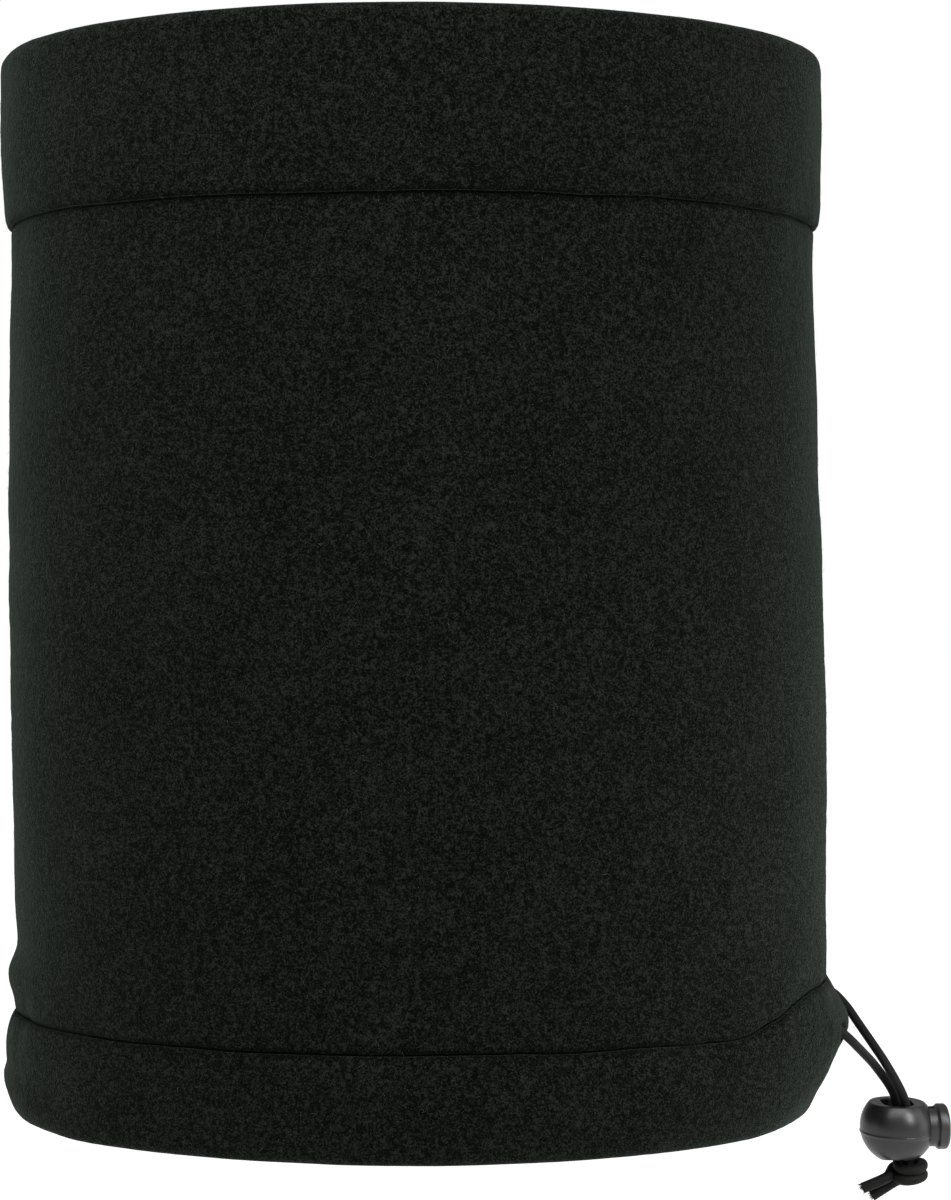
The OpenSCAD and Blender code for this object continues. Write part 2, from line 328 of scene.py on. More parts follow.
class NodeSheet:
    """A material's nodes, added one call at a time."""

    def __init__(self, name: str) -> None:
        """Starts an empty material with a Principled shader, named as given."""
        self.material = bpy.data.materials.new(name)
        self.material.use_nodes = True
        self.tree = self.material.node_tree
        self.shader = self.tree.nodes["Principled BSDF"]

    def add(self, kind: str, **settings: object) -> bpy.types.Node:
        """Adds a node of a kind, with its properties set."""
        node = self.tree.nodes.new(kind)
        for key, value in settings.items():
            setattr(node, key, value)
        return node

    def link(self, source: Socket, target: Socket) -> None:
        """Joins two sockets."""
        self.tree.links.new(source, target)

    def place(self) -> Socket:
        """The Object coordinates, in metres in the frame's axes."""
        return self.add("ShaderNodeTexCoord").outputs["Object"]

    def noise(self, where: Socket, size: float, detail: float = 2.0, rough: float = 0.5) -> Socket:
        """Noise whose grains are about `size` metres across, from 0 to 1.

        Args:
            where: The coordinates.
            size: Size of the grains.
            detail: How many finer layers it has.
            rough: How strong each finer layer is.

        Returns:
            The noise.
        """
        node = self.add("ShaderNodeTexNoise")
        node.inputs["Scale"].default_value = 1.0 / size
        node.inputs["Detail"].default_value = detail
        node.inputs["Roughness"].default_value = rough
        self.link(where, node.inputs["Vector"])
        return node.outputs["Fac"]

    def number(self, name: str) -> Socket:
        """A number that the mesh carries at each vertex."""
        return self.add("ShaderNodeAttribute", attribute_name=name).outputs["Fac"]

    def mix(self, parts: list[tuple[Socket, float]], start: float = 0.0) -> Socket:
        """A start value plus the weighted sum of several numbers.

        Args:
            parts: (number, weight) of each.
            start: The start value.

        Returns:
            The sum.
        """
        total = None
        for socket, weight in parts:
            node = self.add("ShaderNodeMath", operation="MULTIPLY_ADD")
            node.inputs[1].default_value = weight
            self.link(socket, node.inputs[0])
            if total is None:
                node.inputs[2].default_value = start
            else:
                self.link(total, node.inputs[2])
            total = node.outputs[0]
        return total

    def ramp(self, number: Socket, stops: list[tuple[float, Triple]]) -> Socket:
        """Colours blended between stops, by a number from 0 to 1.

        Args:
            number: The number.
            stops: (place, colour) of each stop, in order.

        Returns:
            The colour.
        """
        node = self.add("ShaderNodeValToRGB")
        elements = node.color_ramp.elements
        while len(elements) < len(stops):
            elements.new(0.5)
        for element, (at, colour) in zip(elements, stops):
            element.position = at
            element.color = (*colour, 1.0)
        self.link(number, node.inputs["Fac"])
        return node.outputs["Color"]

    def bump(self, height: Socket, depth: float, under: Socket | None = None) -> Socket:
        """A surface roughened by a height from 0 to 1, `depth` metres deep, over another.

        Args:
            height: The height.
            depth: Depth of the relief.
            under: The rougher surface that it lies on.

        Returns:
            The surface direction.
        """
        node = self.add("ShaderNodeBump")
        node.inputs["Distance"].default_value = depth
        self.link(height, node.inputs["Height"])
        if under is not None:
            self.link(under, node.inputs["Normal"])
        return node.outputs["Normal"]

    def set(self, **values: float | tuple[float, ...]) -> None:
        """Sets the shader's own sockets, with underscores for the spaces in their names."""
        for key, value in values.items():
            self.shader.inputs[key.replace("_", " ")].default_value = value

    def feed(self, socket: str, source: Socket) -> None:
        """Joins a source to one of the shader's sockets."""
        self.link(source, self.shader.inputs[socket])


@dataclass(frozen=True)
class Fleece:
    """Black brushed polyester fleece: a short mottled pile with a grey-green sheen at grazing angles, and
    painted shade darkening its colour along the seams.
    """

    dark: Triple = (0.001, 0.0012, 0.0009)
    middle: Triple = (0.0039, 0.0047, 0.0037)
    light: Triple = (0.0142, 0.0156, 0.0135)
    grain: float = 0.42 * MM
    clump: float = 1.25 * MM
    tone: float = 20 * MM
    pile_depth: float = 0.3 * MM
    sheen: float = 0.075
    sheen_roughness: float = 0.38
    sheen_tint: tuple[float, float, float, float] = (0.76, 1.0, 0.84, 1.0)

    def make(self) -> Material:
        """Builds the material."""
        sheet = NodeSheet("fleece_pile")
        where = sheet.place()
        grain = sheet.noise(where, self.grain, 2.0, 0.6)
        clump = sheet.noise(where, self.clump, 2.0, 0.5)
        tone = sheet.noise(where, self.tone, 2.0, 0.5)
        # Painted shade: the colour is darkened along the two seam grooves, where shade falls.
        painted_seam_shade = sheet.number("painted_seam_shade")
        mottle = sheet.mix([(grain, 2.35), (clump, 1.1), (tone, 0.2), (painted_seam_shade, -0.22)], -1.33)
        stops = [(0.2, self.dark), (0.5, self.middle), (0.85, self.light)]
        sheet.feed("Base Color", sheet.ramp(mottle, stops))
        coarse = sheet.bump(clump, 0.6 * self.pile_depth)
        sheet.feed("Normal", sheet.bump(grain, self.pile_depth, coarse))
        sheet.set(
            Roughness=0.95,
            Specular_IOR_Level=0.03,
            Sheen_Weight=self.sheen,
            Sheen_Roughness=self.sheen_roughness,
            Sheen_Tint=self.sheen_tint,
        )
        return sheet.material


@dataclass(frozen=True)
class LooseFibre:
    """Single pile fibres, coloured a little lighter than the cloth as a painted sheen for the light they
    catch.
    """

    # Lighter than the fleece's own colour: painted sheen of the standing fibres.
    colour: Triple = (0.028, 0.031, 0.027)

    def make(self) -> Material:
        """Builds the material."""
        sheet = NodeSheet("loose_fibre")
        tone = sheet.noise(sheet.place(), 3 * MM, 1.0)
        pale = tuple(1.9 * c for c in self.colour)
        shade = tuple(0.35 * c for c in self.colour)
        sheet.feed("Base Color", sheet.ramp(tone, [(0.3, shade), (0.55, self.colour), (0.75, pale)]))
        sheet.set(Roughness=0.6, Specular_IOR_Level=0.3, Sheen_Weight=0.2, Sheen_Roughness=0.4)
        return sheet.material


@dataclass(frozen=True)
class Thread:
    """Black spun polyester thread with a fine twist."""

    colour: Triple = (0.008, 0.009, 0.008)

    def make(self) -> Material:
        """Builds the material."""
        sheet = NodeSheet("spun_thread")
        where = sheet.place()
        twist = sheet.noise(where, 0.16 * MM, 2.0)
        pale = tuple(2.4 * c for c in self.colour)
        sheet.feed("Base Color", sheet.ramp(twist, [(0.35, self.colour), (0.7, pale)]))
        sheet.feed("Normal", sheet.bump(twist, 0.05 * MM))
        sheet.set(Roughness=0.8, Specular_IOR_Level=0.1, Sheen_Weight=0.06, Sheen_Roughness=0.3)
        return sheet.material


@dataclass(frozen=True)
class BraidedCover:
    """Black braided cover of an elastic cord, with painted light: its ridges are coloured lighter as a
    painted highlight and its valleys darker as painted shade.
    """

    # Colours of the braid's valleys and ridges: painted shade in the valleys and a painted highlight on the
    # ridges.
    painted_valley_shade: Triple = (0.0013, 0.0015, 0.0012)
    ridge: Triple = (0.0095, 0.0102, 0.009)
    sheen: float = 0.035

    def make(self) -> Material:
        """Builds the material."""
        sheet = NodeSheet("braided_cover")
        where = sheet.place()
        fibre = sheet.noise(where, 0.13 * MM, 2.0, 0.6)
        worn = sheet.noise(where, 2.5 * MM, 2.0)
        # The braid's height turns into painted light: lighter on the ridges as a painted highlight, darker in
        # the valleys as painted shade.
        height = sheet.number("ridge")
        shade = sheet.mix([(height, 0.62), (fibre, 0.45), (worn, 0.3)], -0.24)
        sheet.feed("Base Color", sheet.ramp(shade, [(0.1, self.painted_valley_shade), (0.8, self.ridge)]))
        sheet.feed("Normal", sheet.bump(fibre, 0.06 * MM))
        sheet.set(
            Roughness=0.6,
            Specular_IOR_Level=0.12,
            Sheen_Weight=self.sheen,
            Sheen_Roughness=0.35,
            Sheen_Tint=(0.92, 1.0, 0.95, 1.0),
        )
        return sheet.material


@dataclass(frozen=True)
class MouldedPlastic:
    """Satin black moulded plastic, rubbed a little lighter and glossier along its edges."""

    name: str
    colour: Triple
    rubbed: Triple
    roughness: float = 0.36

    def make(self) -> Material:
        """Builds the material."""
        sheet = NodeSheet(self.name)
        where = sheet.place()
        spark = sheet.noise(where, 0.22 * MM, 3.0, 0.6)
        cloud = sheet.noise(where, 4 * MM, 2.0)
        wear = sheet.number("wear")
        shade = sheet.mix([(wear, 0.8), (cloud, 0.25)])
        sheet.feed("Base Color", sheet.ramp(shade, [(0.1, self.colour), (0.9, self.rubbed)]))
        dull = sheet.mix([(spark, 0.12), (cloud, 0.16), (wear, -0.1)], self.roughness - 0.14)
        sheet.feed("Roughness", dull)
        sheet.feed("Normal", sheet.bump(spark, 0.006 * MM))
        sheet.set(Specular_IOR_Level=0.5, IOR=1.49)
        return sheet.material


BALL_PLASTIC = MouldedPlastic("lock_plastic", (0.006, 0.0062, 0.0058), (0.03, 0.0305, 0.029))
PLUNGER_PLASTIC = MouldedPlastic("plunger_plastic", (0.011, 0.0112, 0.0106), (0.04, 0.0405, 0.039))


@dataclass(frozen=True)
class SpringSteel:
    """Drawn spring wire with fine lines along it."""

    colour: Triple = (0.52, 0.52, 0.54)

    def make(self) -> Material:
        """Builds the material."""
        sheet = NodeSheet("spring_wire")
        drawn = sheet.noise(sheet.place(), 0.2 * MM, 3.0)
        dark = tuple(0.7 * c for c in self.colour)
        sheet.feed("Base Color", sheet.ramp(drawn, [(0.3, dark), (0.7, self.colour)]))
        sheet.feed("Roughness", sheet.mix([(drawn, 0.2)], 0.2))
        sheet.set(Metallic=1.0)
        return sheet.material


@dataclass(frozen=True)
class PaleFloor:
    """Plain pale floor, lit a little from below like a light table."""

    colour: tuple[float, float, float, float] = (0.3, 0.3, 0.3, 1.0)
    glow: float = 0.92

    def make(self) -> Material:
        """Builds the material."""
        sheet = NodeSheet("pale_floor")
        sheet.set(
            Base_Color=self.colour,
            Roughness=0.9,
            Specular_IOR_Level=0.0,
            Emission_Color=(1.0, 1.0, 1.0, 1.0),
            Emission_Strength=self.glow,
        )
        return sheet.material


@dataclass(frozen=True)
class Finishes:
    """All the object's materials, made once."""

    fleece: Material = field(default_factory=lambda: Fleece().make())
    fibre: Material = field(default_factory=lambda: LooseFibre().make())
    thread: Material = field(default_factory=lambda: Thread().make())
    cord: Material = field(default_factory=lambda: BraidedCover().make())
    lock: Material = field(default_factory=lambda: BALL_PLASTIC.make())
    plunger: Material = field(default_factory=lambda: PLUNGER_PLASTIC.make())
    steel: Material = field(default_factory=lambda: SpringSteel().make())


# ---------------------------------------------------------------- studio


@dataclass(frozen=True)
class Softbox:
    """A rectangular soft light that faces a point."""

    name: str
    place: Triple
    aim: Triple
    width: float
    height: float
    power: float

    def build(self) -> None:
        """Adds the light, hidden from the camera's own view."""
        lamp = bpy.data.lights.new(self.name, "AREA")
        lamp.shape = "RECTANGLE"
        lamp.size, lamp.size_y, lamp.energy = self.width, self.height, self.power
        holder = bpy.data.objects.new(self.name, lamp)
        holder.location = self.place
        towards = Vector(self.aim) - Vector(self.place)
        holder.rotation_euler = towards.to_track_quat("-Z", "Y").to_euler()
        holder.visible_camera = False
        bpy.context.scene.collection.objects.link(holder)


LOCK_PLACE = (0.118, 0.0, -0.131)
SOFTBOXES = (
    Softbox("overhead_box", (0.0, -0.38, 0.52), (0.0, 0.0, 0.05), 0.9, 0.4, 5.2),
    Softbox("left_box", (-0.9, -0.1, 0.1), (0.0, 0.0, 0.0), 0.4, 1.0, 2.4),
    Softbox("right_box", (0.95, -0.15, 0.1), (0.05, 0.0, -0.02), 0.4, 1.0, 3.0),
    Softbox("lock_strip", (0.19, -0.1, -0.05), LOCK_PLACE, 0.016, 0.06, 0.13),
)


@dataclass
class Studio:
    """The floor, the lights and the camera."""

    distance: float = 0.565
    lens: float = 69.75
    shift: tuple[float, float] = (0.05375, -0.0125)
    drop: float = 40 * MM
    sensor: float = 36.0
    floor_radius: float = 12.0
    floor_rings: int = 24
    floor_spokes: int = 96
    world_strength: float = 0.32

    def build_camera(self) -> None:
        """A level camera straight in front of the tube's middle."""
        camera = bpy.data.cameras.new("camera")
        camera.lens = self.lens
        camera.sensor_width = self.sensor
        camera.shift_x, camera.shift_y = self.shift
        camera.clip_start = 0.01
        holder = bpy.data.objects.new("camera", camera)
        holder.location = (0.0, -self.distance, 0.0)
        holder.rotation_euler = (np.pi / 2.0, 0.0, 0.0)
        bpy.context.scene.collection.objects.link(holder)
        bpy.context.scene.camera = holder

    def build_floor(self) -> None:
        """A disc of rings: radius r and angle a give (r cos a, r sin a)."""
        radius = self.floor_radius * np.linspace(0.02, 1.0, self.floor_rings) ** 2
        angle = np.linspace(0.0, 2.0 * np.pi, self.floor_spokes, endpoint=False)
        level = CAD_BOX[0][2] - self.drop
        x, y = radius[:, None] * np.cos(angle), radius[:, None] * np.sin(angle)
        rings = np.stack([x, y, np.full_like(x, level)], axis=-1).reshape(-1, 3)
        quads = grid_faces(len(radius), len(angle), False, True)[:, ::-1]
        here = np.arange(len(angle))
        fan = np.stack([np.full(len(angle), len(rings)), here, np.roll(here, -1)], axis=1)
        points = np.vstack([rings, [0.0, 0.0, level]])
        new_piece("floor", points, [quads, fan], PaleFloor().make())

    def build_lights(self) -> None:
        """An even white surround with large soft boxes."""
        world = bpy.data.worlds.new("white_surround")
        world.use_nodes = True
        tree = world.node_tree
        background = tree.nodes["Background"]
        background.inputs["Color"].default_value = (1.0, 1.0, 1.0, 1.0)
        seen = tree.nodes.new("ShaderNodeMath")
        seen.operation = "MULTIPLY_ADD"
        seen.inputs[1].default_value = 1.0 - self.world_strength
        seen.inputs[2].default_value = self.world_strength
        ray = tree.nodes.new("ShaderNodeLightPath")
        tree.links.new(ray.outputs["Is Camera Ray"], seen.inputs[0])
        tree.links.new(seen.outputs[0], background.inputs["Strength"])
        scene = bpy.context.scene
        scene.world = world
        scene.view_settings.view_transform = "Standard"
        for box in SOFTBOXES:
            box.build()


# ---------------------------------------------------------------- the tube's shape


@dataclass(frozen=True)
class Waves:
    """Soft random waves: their seed, usual wavelength, number and height, and how fast they fade."""

    seed: int
    size: float
    count: int
    depth: float
    fade: float = 0.0


@dataclass
class TubeShape:
    """The filled-out tube: an oval outline with the cloth's own lie laid over it.

    The outline is the superellipse |x / half_width|^power + |y / half_depth|^power = 1. A place on
    it is given as a share of its girth, counted from +X towards +Y, so the back seam is at 1/4.
    """

    half_width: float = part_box("body_panel")[1].x
    half_depth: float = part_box("body_panel")[1].y
    top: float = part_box("top_band")[1].z
    bottom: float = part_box("bottom_casing")[0].z
    top_seam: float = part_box("top_band")[0].z
    power: float = 2.05
    outline_steps: int = 8000
    back_share: float = 0.25
    left_share: float = 0.5
    # the casing seam's climb towards +X
    seam_rise: float = 7.5 * MM
    rise_start: float = 27.5 * MM
    rise_run: float = 24 * MM
    lift_fade: float = 45 * MM
    # the lean: its least value, its growth, and the height where it starts and its run down
    lean_least: float = 0.1 * MM
    lean_growth: float = 2.15 * MM
    lean_start: float = 0.088
    lean_run: float = 0.17
    # the hem comes back from the lean over its last stretch
    hem_return: float = 2.5 * MM
    hem_below: float = 3 * MM
    hem_run: float = 14 * MM
    # how far the cloth stands out at some heights
    swell_heights: tuple[float, ...] = (-0.1, -0.086, -0.05, 0.0, 0.073)
    swells: tuple[float, ...] = (0.2 * MM, 0.4 * MM, 0.9 * MM, 0.5 * MM, -0.5 * MM)
    # the casing drawn out by the cords: how far, its spread along y, its middle and its spread over z
    flap_reach: float = 3.9 * MM
    flap_width: float = 14 * MM
    flap_drop: float = 8.8 * MM
    flap_height: float = 3.4 * MM
    # the hem's rolled outer edge
    tuck_rise: float = 6.0 * MM
    tuck_run: float = 21 * MM
    tuck_power: float = 1.8
    tuck_height: float = 16 * MM
    outer_start: float = 3 * MM
    outer_run: float = 4 * MM
    # the folds on the left: how far out, the middle above the casing seam and the spread of each
    fold_width: float = 17 * MM
    folds: tuple[Triple, ...] = (
        (1.9 * MM, 8.6 * MM, 3.2 * MM),
        (-0.5 * MM, 16 * MM, 3.5 * MM),
        (-0.5 * MM, 0.0, 3 * MM),
    )
    cleft_width: float = 1.9 * MM
    # waves that fade away from the top seam and the casing seam, then the slack everywhere
    pucker_waves: tuple[Waves, Waves] = (
        Waves(31, 11 * MM, 14, 0.22 * MM, 5 * MM),
        Waves(32, 10 * MM, 14, 0.28 * MM, 6 * MM),
    )
    wobble_waves: tuple[Waves, Waves] = (
        Waves(41, 30 * MM, 10, 0.24 * MM, 8 * MM),
        Waves(42, 34 * MM, 10, 0.3 * MM, 8 * MM),
    )
    slack_waves: tuple[Waves, ...] = (
        Waves(11, 95 * MM, 16, 0.42 * MM),
        Waves(12, 27 * MM, 20, 0.16 * MM),
        Waves(13, 5 * MM, 40, 0.055 * MM),
    )
    casing_seam: float = field(init=False)
    girth: float = field(init=False)

    def __post_init__(self) -> None:
        """Measures the outline's length from closely spaced points."""
        self.casing_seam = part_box("bottom_casing")[1].z - self.seam_rise
        self._angle = np.linspace(0.0, 2.0 * np.pi, self.outline_steps + 1)
        steps = np.diff(self._oval(self._angle), axis=0)
        self._length = np.concatenate([[0.0], np.cumsum(np.linalg.norm(steps, axis=1))])
        self.girth = float(self._length[-1])

    def _oval(self, angle: Array) -> Array:
        """Outline points: (w sign(cos) |cos|^(2/p), d sign(sin) |sin|^(2/p))."""
        c, s = np.cos(angle), np.sin(angle)
        x = self.half_width * np.sign(c) * np.abs(c) ** (2.0 / self.power)
        y = self.half_depth * np.sign(s) * np.abs(s) ** (2.0 / self.power)
        return np.stack([x, y], axis=-1)

    def outline(self, share: Array) -> tuple[Array, Array]:
        """Outline points and outward normals at shares of the girth."""
        angle = np.interp(np.mod(share, 1.0) * self.girth, self._length, self._angle)
        point = self._oval(angle)
        x, y = point[..., 0] / self.half_width, point[..., 1] / self.half_depth
        pull = self.power - 1.0
        across = np.sign(x) * np.abs(x) ** pull / self.half_width
        deep = np.sign(y) * np.abs(y) ** pull / self.half_depth
        return point, unit(np.stack([across, deep], axis=-1))

    def share_at(self, angle: Array) -> Array:
        """Shares of the girth at the oval's own angles, in radians."""
        return np.interp(np.mod(angle, 2.0 * np.pi), self._angle, self._length) / self.girth

    def columns(self, spacing: float, zones: list[Triple]) -> Array:
        """Shares of the girth for a grid's columns, closer together in some zones.

        Args:
            spacing: Distance between columns elsewhere.
            zones: (middle share, half length, spacing) of each close zone.

        Returns:
            The columns' shares, from 0 to below 1.
        """
        share = np.linspace(0.0, 1.0, self.outline_steps + 1)
        gap = np.full_like(share, spacing)
        for middle, half, close in zones:
            away = self.distance(share, middle)
            gap = np.minimum(gap, close + (spacing - close) * smooth((np.abs(away) - half) / (6 * MM)))
        passed = np.concatenate([[0.0], np.cumsum(self.girth / self.outline_steps / gap[:-1])])
        count = int(round(passed[-1]))
        return np.interp(np.arange(count) * passed[-1] / count, passed, share)

    def distance(self, share: Array, middle: float) -> Array:
        """Signed distance round the girth from a place, the short way."""
        return (np.mod(share - middle + 0.5, 1.0) - 0.5) * self.girth

    def ripples(self, waves: Waves, share: Array, height: Array) -> Array:
        """Soft random waves: a sum of sines whose wavelengths lie near the usual one.

        Args:
            waves: What the waves are like.
            share: Shares of the girth.
            height: Heights, which broadcast with the shares.

        Returns:
            How far the waves reach at each place.
        """
        rng = np.random.default_rng(waves.seed)
        heading = rng.uniform(0.0, 2.0 * np.pi, waves.count)
        pitch = rng.uniform(0.7, 1.4, waves.count) / waves.size
        phase = rng.uniform(0.0, 2.0 * np.pi, waves.count)
        turns = np.round(np.cos(heading) * pitch * self.girth)
        rise = np.sin(heading) * pitch
        total = np.zeros(np.broadcast(share, height).shape)
        for k in range(waves.count):
            total += np.sin(2.0 * np.pi * (turns[k] * share + rise[k] * height) + phase[k])
        return waves.depth * (total / np.sqrt(2.0 * waves.count))

    def near_seams(self, pair: tuple[Waves, Waves], share: Array, height: Array) -> Array:
        """Waves along the top seam and the casing seam, each fading as e to the minus distance / fade.

        Args:
            pair: The waves at the top seam and at the casing seam.
            share: Shares of the girth.
            height: Heights.

        Returns:
            How far the waves reach at each place.
        """
        total = 0.0
        for waves, seam in zip(pair, (self.top_seam, self.casing_seam)):
            near = np.exp(-np.abs(height - seam) / waves.fade)
            total = total + self.ripples(waves, share, np.zeros(1)) * near
        return total

    def lean(self, height: Array) -> Array:
        """How far the tube stands to +X at a height: it leans a little towards the cord side."""
        sway = self.lean_least + self.lean_growth * smooth((self.lean_start - height) / self.lean_run)
        return sway - self.hem_return * (1.0 - smooth((height - self.bottom + self.hem_below) / self.hem_run))

    def swell(self, height: Array) -> Array:
        """How far the cloth stands out at a height: slim under the top band, fuller below its middle."""
        return np.interp(height, self.swell_heights, self.swells)

    def lift(self, x: Array, height: Array) -> Array:
        """The seam's climb: a smooth step towards +X, fading into the cloth above and below the seam."""
        climb = self.seam_rise * smooth((x - self.half_width + self.rise_start) / self.rise_run)
        levels = [self.bottom, self.casing_seam, self.casing_seam + self.lift_fade]
        return climb * smooth(np.interp(height, levels, [0.0, 1.0, 0.0]))

    def flap(self, y: Array, height: Array) -> Array:
        """How far the cords draw the casing out to +X: a bell along y and a bell over height."""
        low = height - self.casing_seam + self.flap_drop
        return self.flap_reach * bell(y / self.flap_width) * bell(low / self.flap_height)

    def tuck(self, x: Array, offset: Array, height: Array) -> Array:
        """How far the hem's outer edge rolls up towards both sides, growing faster the nearer the side.

        Args:
            x: Places along +X on the outline.
            offset: Outward offsets.
            height: Heights.

        Returns:
            The rise at each place.
        """
        nearness = (np.abs(x) - self.half_width + self.tuck_run) / self.tuck_run
        side = np.clip(nearness, 0.0, 1.0) ** self.tuck_power
        outer = smooth((offset + self.outer_start) / self.outer_run)
        fall = 1.0 - smooth((height - self.bottom) / self.tuck_height)
        return self.tuck_rise * side * outer * fall

    def wrinkle(self, share: Array, height: Array) -> Array:
        """The soft fold above the casing on the left, with a hollow over it and a pinch under it."""
        near = bell(self.distance(share, self.left_share) / self.fold_width)
        above = height - self.casing_seam
        return near * sum(out * bell((above - middle) / spread) for out, middle, spread in self.folds)

    def back_join(self, share: Array, offset: Array, depth: float) -> Array:
        """The upright join at the back: a cleft outside, and a shallower one inside.

        Args:
            share: Shares of the girth.
            offset: Outward offsets.
            depth: Depth of the outer cleft.

        Returns:
            The change of each offset.
        """
        away = np.abs(self.distance(share, self.back_share))
        cleft = smooth(1.0 - away / self.cleft_width) ** 1.5
        outside = smooth((offset + 1.1 * MM) / (1.1 * MM))
        inside = smooth((-2.0 * MM - offset) / (0.8 * MM))
        return depth * cleft * (0.6 * inside - outside)

    def place(self, share: Array, offset: Array, height: Array) -> Array:
        """Points of the cloth: the outline moved out along its normal, with the cloth's lie added.

        Args:
            share: Shares of the girth, one for each column.
            offset: Outward offsets, shaped (rows, columns) or (rows, 1).
            height: Heights, shaped likewise.

        Returns:
            Points shaped (rows, columns, 3).
        """
        point, normal = self.outline(share)
        out = offset + self.swell(height) + self.wrinkle(share, height)
        out = out + self.near_seams(self.pucker_waves, share, height)
        out = out + sum(self.ripples(waves, share, height) for waves in self.slack_waves)
        drawn = self.flap(point[:, 1], height) * (point[:, 0] > 0.0)
        x = point[:, 0] + normal[:, 0] * out + self.lean(height) + drawn
        y = point[:, 1] + normal[:, 1] * out
        z = height + self.lift(point[:, 0], height) + self.near_seams(self.wobble_waves, share, height)
        z = z + self.tuck(point[:, 0], offset, height)
        return np.stack(np.broadcast_arrays(x, y, z), axis=-1)


@dataclass
class ClothRing:
    """A closed ring of cloth: a rounded cross-section carried round the tube's outline."""

    shape: TubeShape
    name: str
    node: str
    corners: list[Triple]
    spacing: float
    zones: list[Triple]
    join_depth: float = 1.5 * MM
    # half width of the painted shade along the seams
    painted_seam_shade_width: float = 0.6 * MM

    def grid(self) -> tuple[Array, Array, Array]:
        """Works out the ring.

        Returns:
            The columns' shares, the rows' (offset, height) and the points (rows, columns, 3).
        """
        share = self.shape.columns(self.spacing, self.zones)
        rows = section(self.corners)
        offset, height = rows[:, :1], rows[:, 1:]
        offset = offset + self.shape.back_join(share, offset, self.join_depth)
        offset = self.refine(share, offset, height)
        return share, rows, self.finish_points(share, rows, self.shape.place(share, offset, height))

    def refine(self, share: Array, offset: Array, height: Array) -> Array:
        """Changes the offsets before the ring is laid on the outline; a plain ring changes none."""
        return offset

    def finish_points(self, share: Array, rows: Array, points: Array) -> Array:
        """Changes the finished points; a plain ring changes none."""
        return points

    def build(self, finish: Material) -> tuple[bpy.types.Object, Array, Array]:
        """Makes the piece and lets it ride on the gaiter.

        Args:
            finish: The cloth's material.

        Returns:
            The piece, the rows' (offset, height) and the points (rows, columns, 3).
        """
        share, rows, points = self.grid()
        count_rows, count_columns = points.shape[:2]
        piece = new_piece(self.name, points, [grid_faces(count_rows, count_columns, True, True)], finish)
        step = np.linalg.norm(np.diff(np.vstack([rows, rows[:1]]), axis=0), axis=1)
        up = np.concatenate([[0.0], np.cumsum(step)])
        set_uv(piece, grid_uv(np.append(share, 1.0) * self.shape.girth, up))
        # Painted shade: a bell over height at each seam, which darkens the fleece's colour in the seam
        # grooves.
        seams = np.array([self.shape.top_seam, self.shape.casing_seam])
        painted_seam_shade = bell((rows[:, 1:] - seams) / self.painted_seam_shade_width).max(axis=1)
        set_point_value(piece, "painted_seam_shade", np.repeat(painted_seam_shade, count_columns))
        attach(piece, Body.GAITER.value)
        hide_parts(self.node)
        LOG.info("%s: %d rows, %d columns", self.name, count_rows, count_columns)
        return piece, rows, points


class BodyCloth(ClothRing):
    """The single-layer tube, whose two edges are turned in along the back."""

    ridge_width: float = 2.3 * MM
    ridge_depth: float = 6.2 * MM

    def refine(self, share: Array, offset: Array, height: Array) -> Array:
        """Pushes the inside inwards along the back: the turned-in edges, with a slit between them.

        Args:
            share: Shares of the girth.
            offset: Outward offsets.
            height: Heights.

        Returns:
            The changed offsets.
        """
        away = np.abs(self.shape.distance(share, self.shape.back_share))
        inside = smooth((-1.7 * MM - offset) / (0.4 * MM))
        ridge = smooth((self.ridge_width + 0.5 * MM - away) / (0.9 * MM))
        slit = 0.45 * bell(away / (0.4 * MM))
        low, high = self.shape.casing_seam + 3 * MM, self.shape.top_seam - 3 * MM
        run = smooth((height - low) / (4 * MM)) * smooth((high - height) / (4 * MM))
        return offset - self.ridge_depth * inside * (ridge - slit) * run


@dataclass
class CasingCloth(ClothRing):
    """The folded casing, with a hole in its outer leaf for each cord."""

    exits: list[tuple[Array, Array]] = field(default_factory=list)
    hole: float = 1.75 * MM
    depth: float = 2.0 * MM
    reach: float = 8 * MM

    def finish_points(self, share: Array, rows: Array, points: Array) -> Array:
        """Sinks the outer leaf round each cord's line, to a pit with steep walls.

        Args:
            share: Shares of the girth.
            rows: The rows' (offset, height).
            points: The points (rows, columns, 3).

        Returns:
            The changed points.
        """
        outer = smooth((rows[:, 0] - 1.2 * MM) / (0.6 * MM))[:, None]
        normal = self.shape.outline(share)[1]
        for start, along in self.exits:
            across = points - start
            across = across - np.sum(across * along, axis=-1, keepdims=True) * along
            away = np.linalg.norm(across, axis=-1)
            near = np.linalg.norm(points - start, axis=-1) < self.reach
            pit = self.depth * outer * near * smooth((self.hole + 0.35 * MM - away) / (0.7 * MM))
            points[..., 0] -= pit * normal[:, 0]
            points[..., 1] -= pit * normal[:, 1]
        return points


# ---------------------------------------------------------------- cord


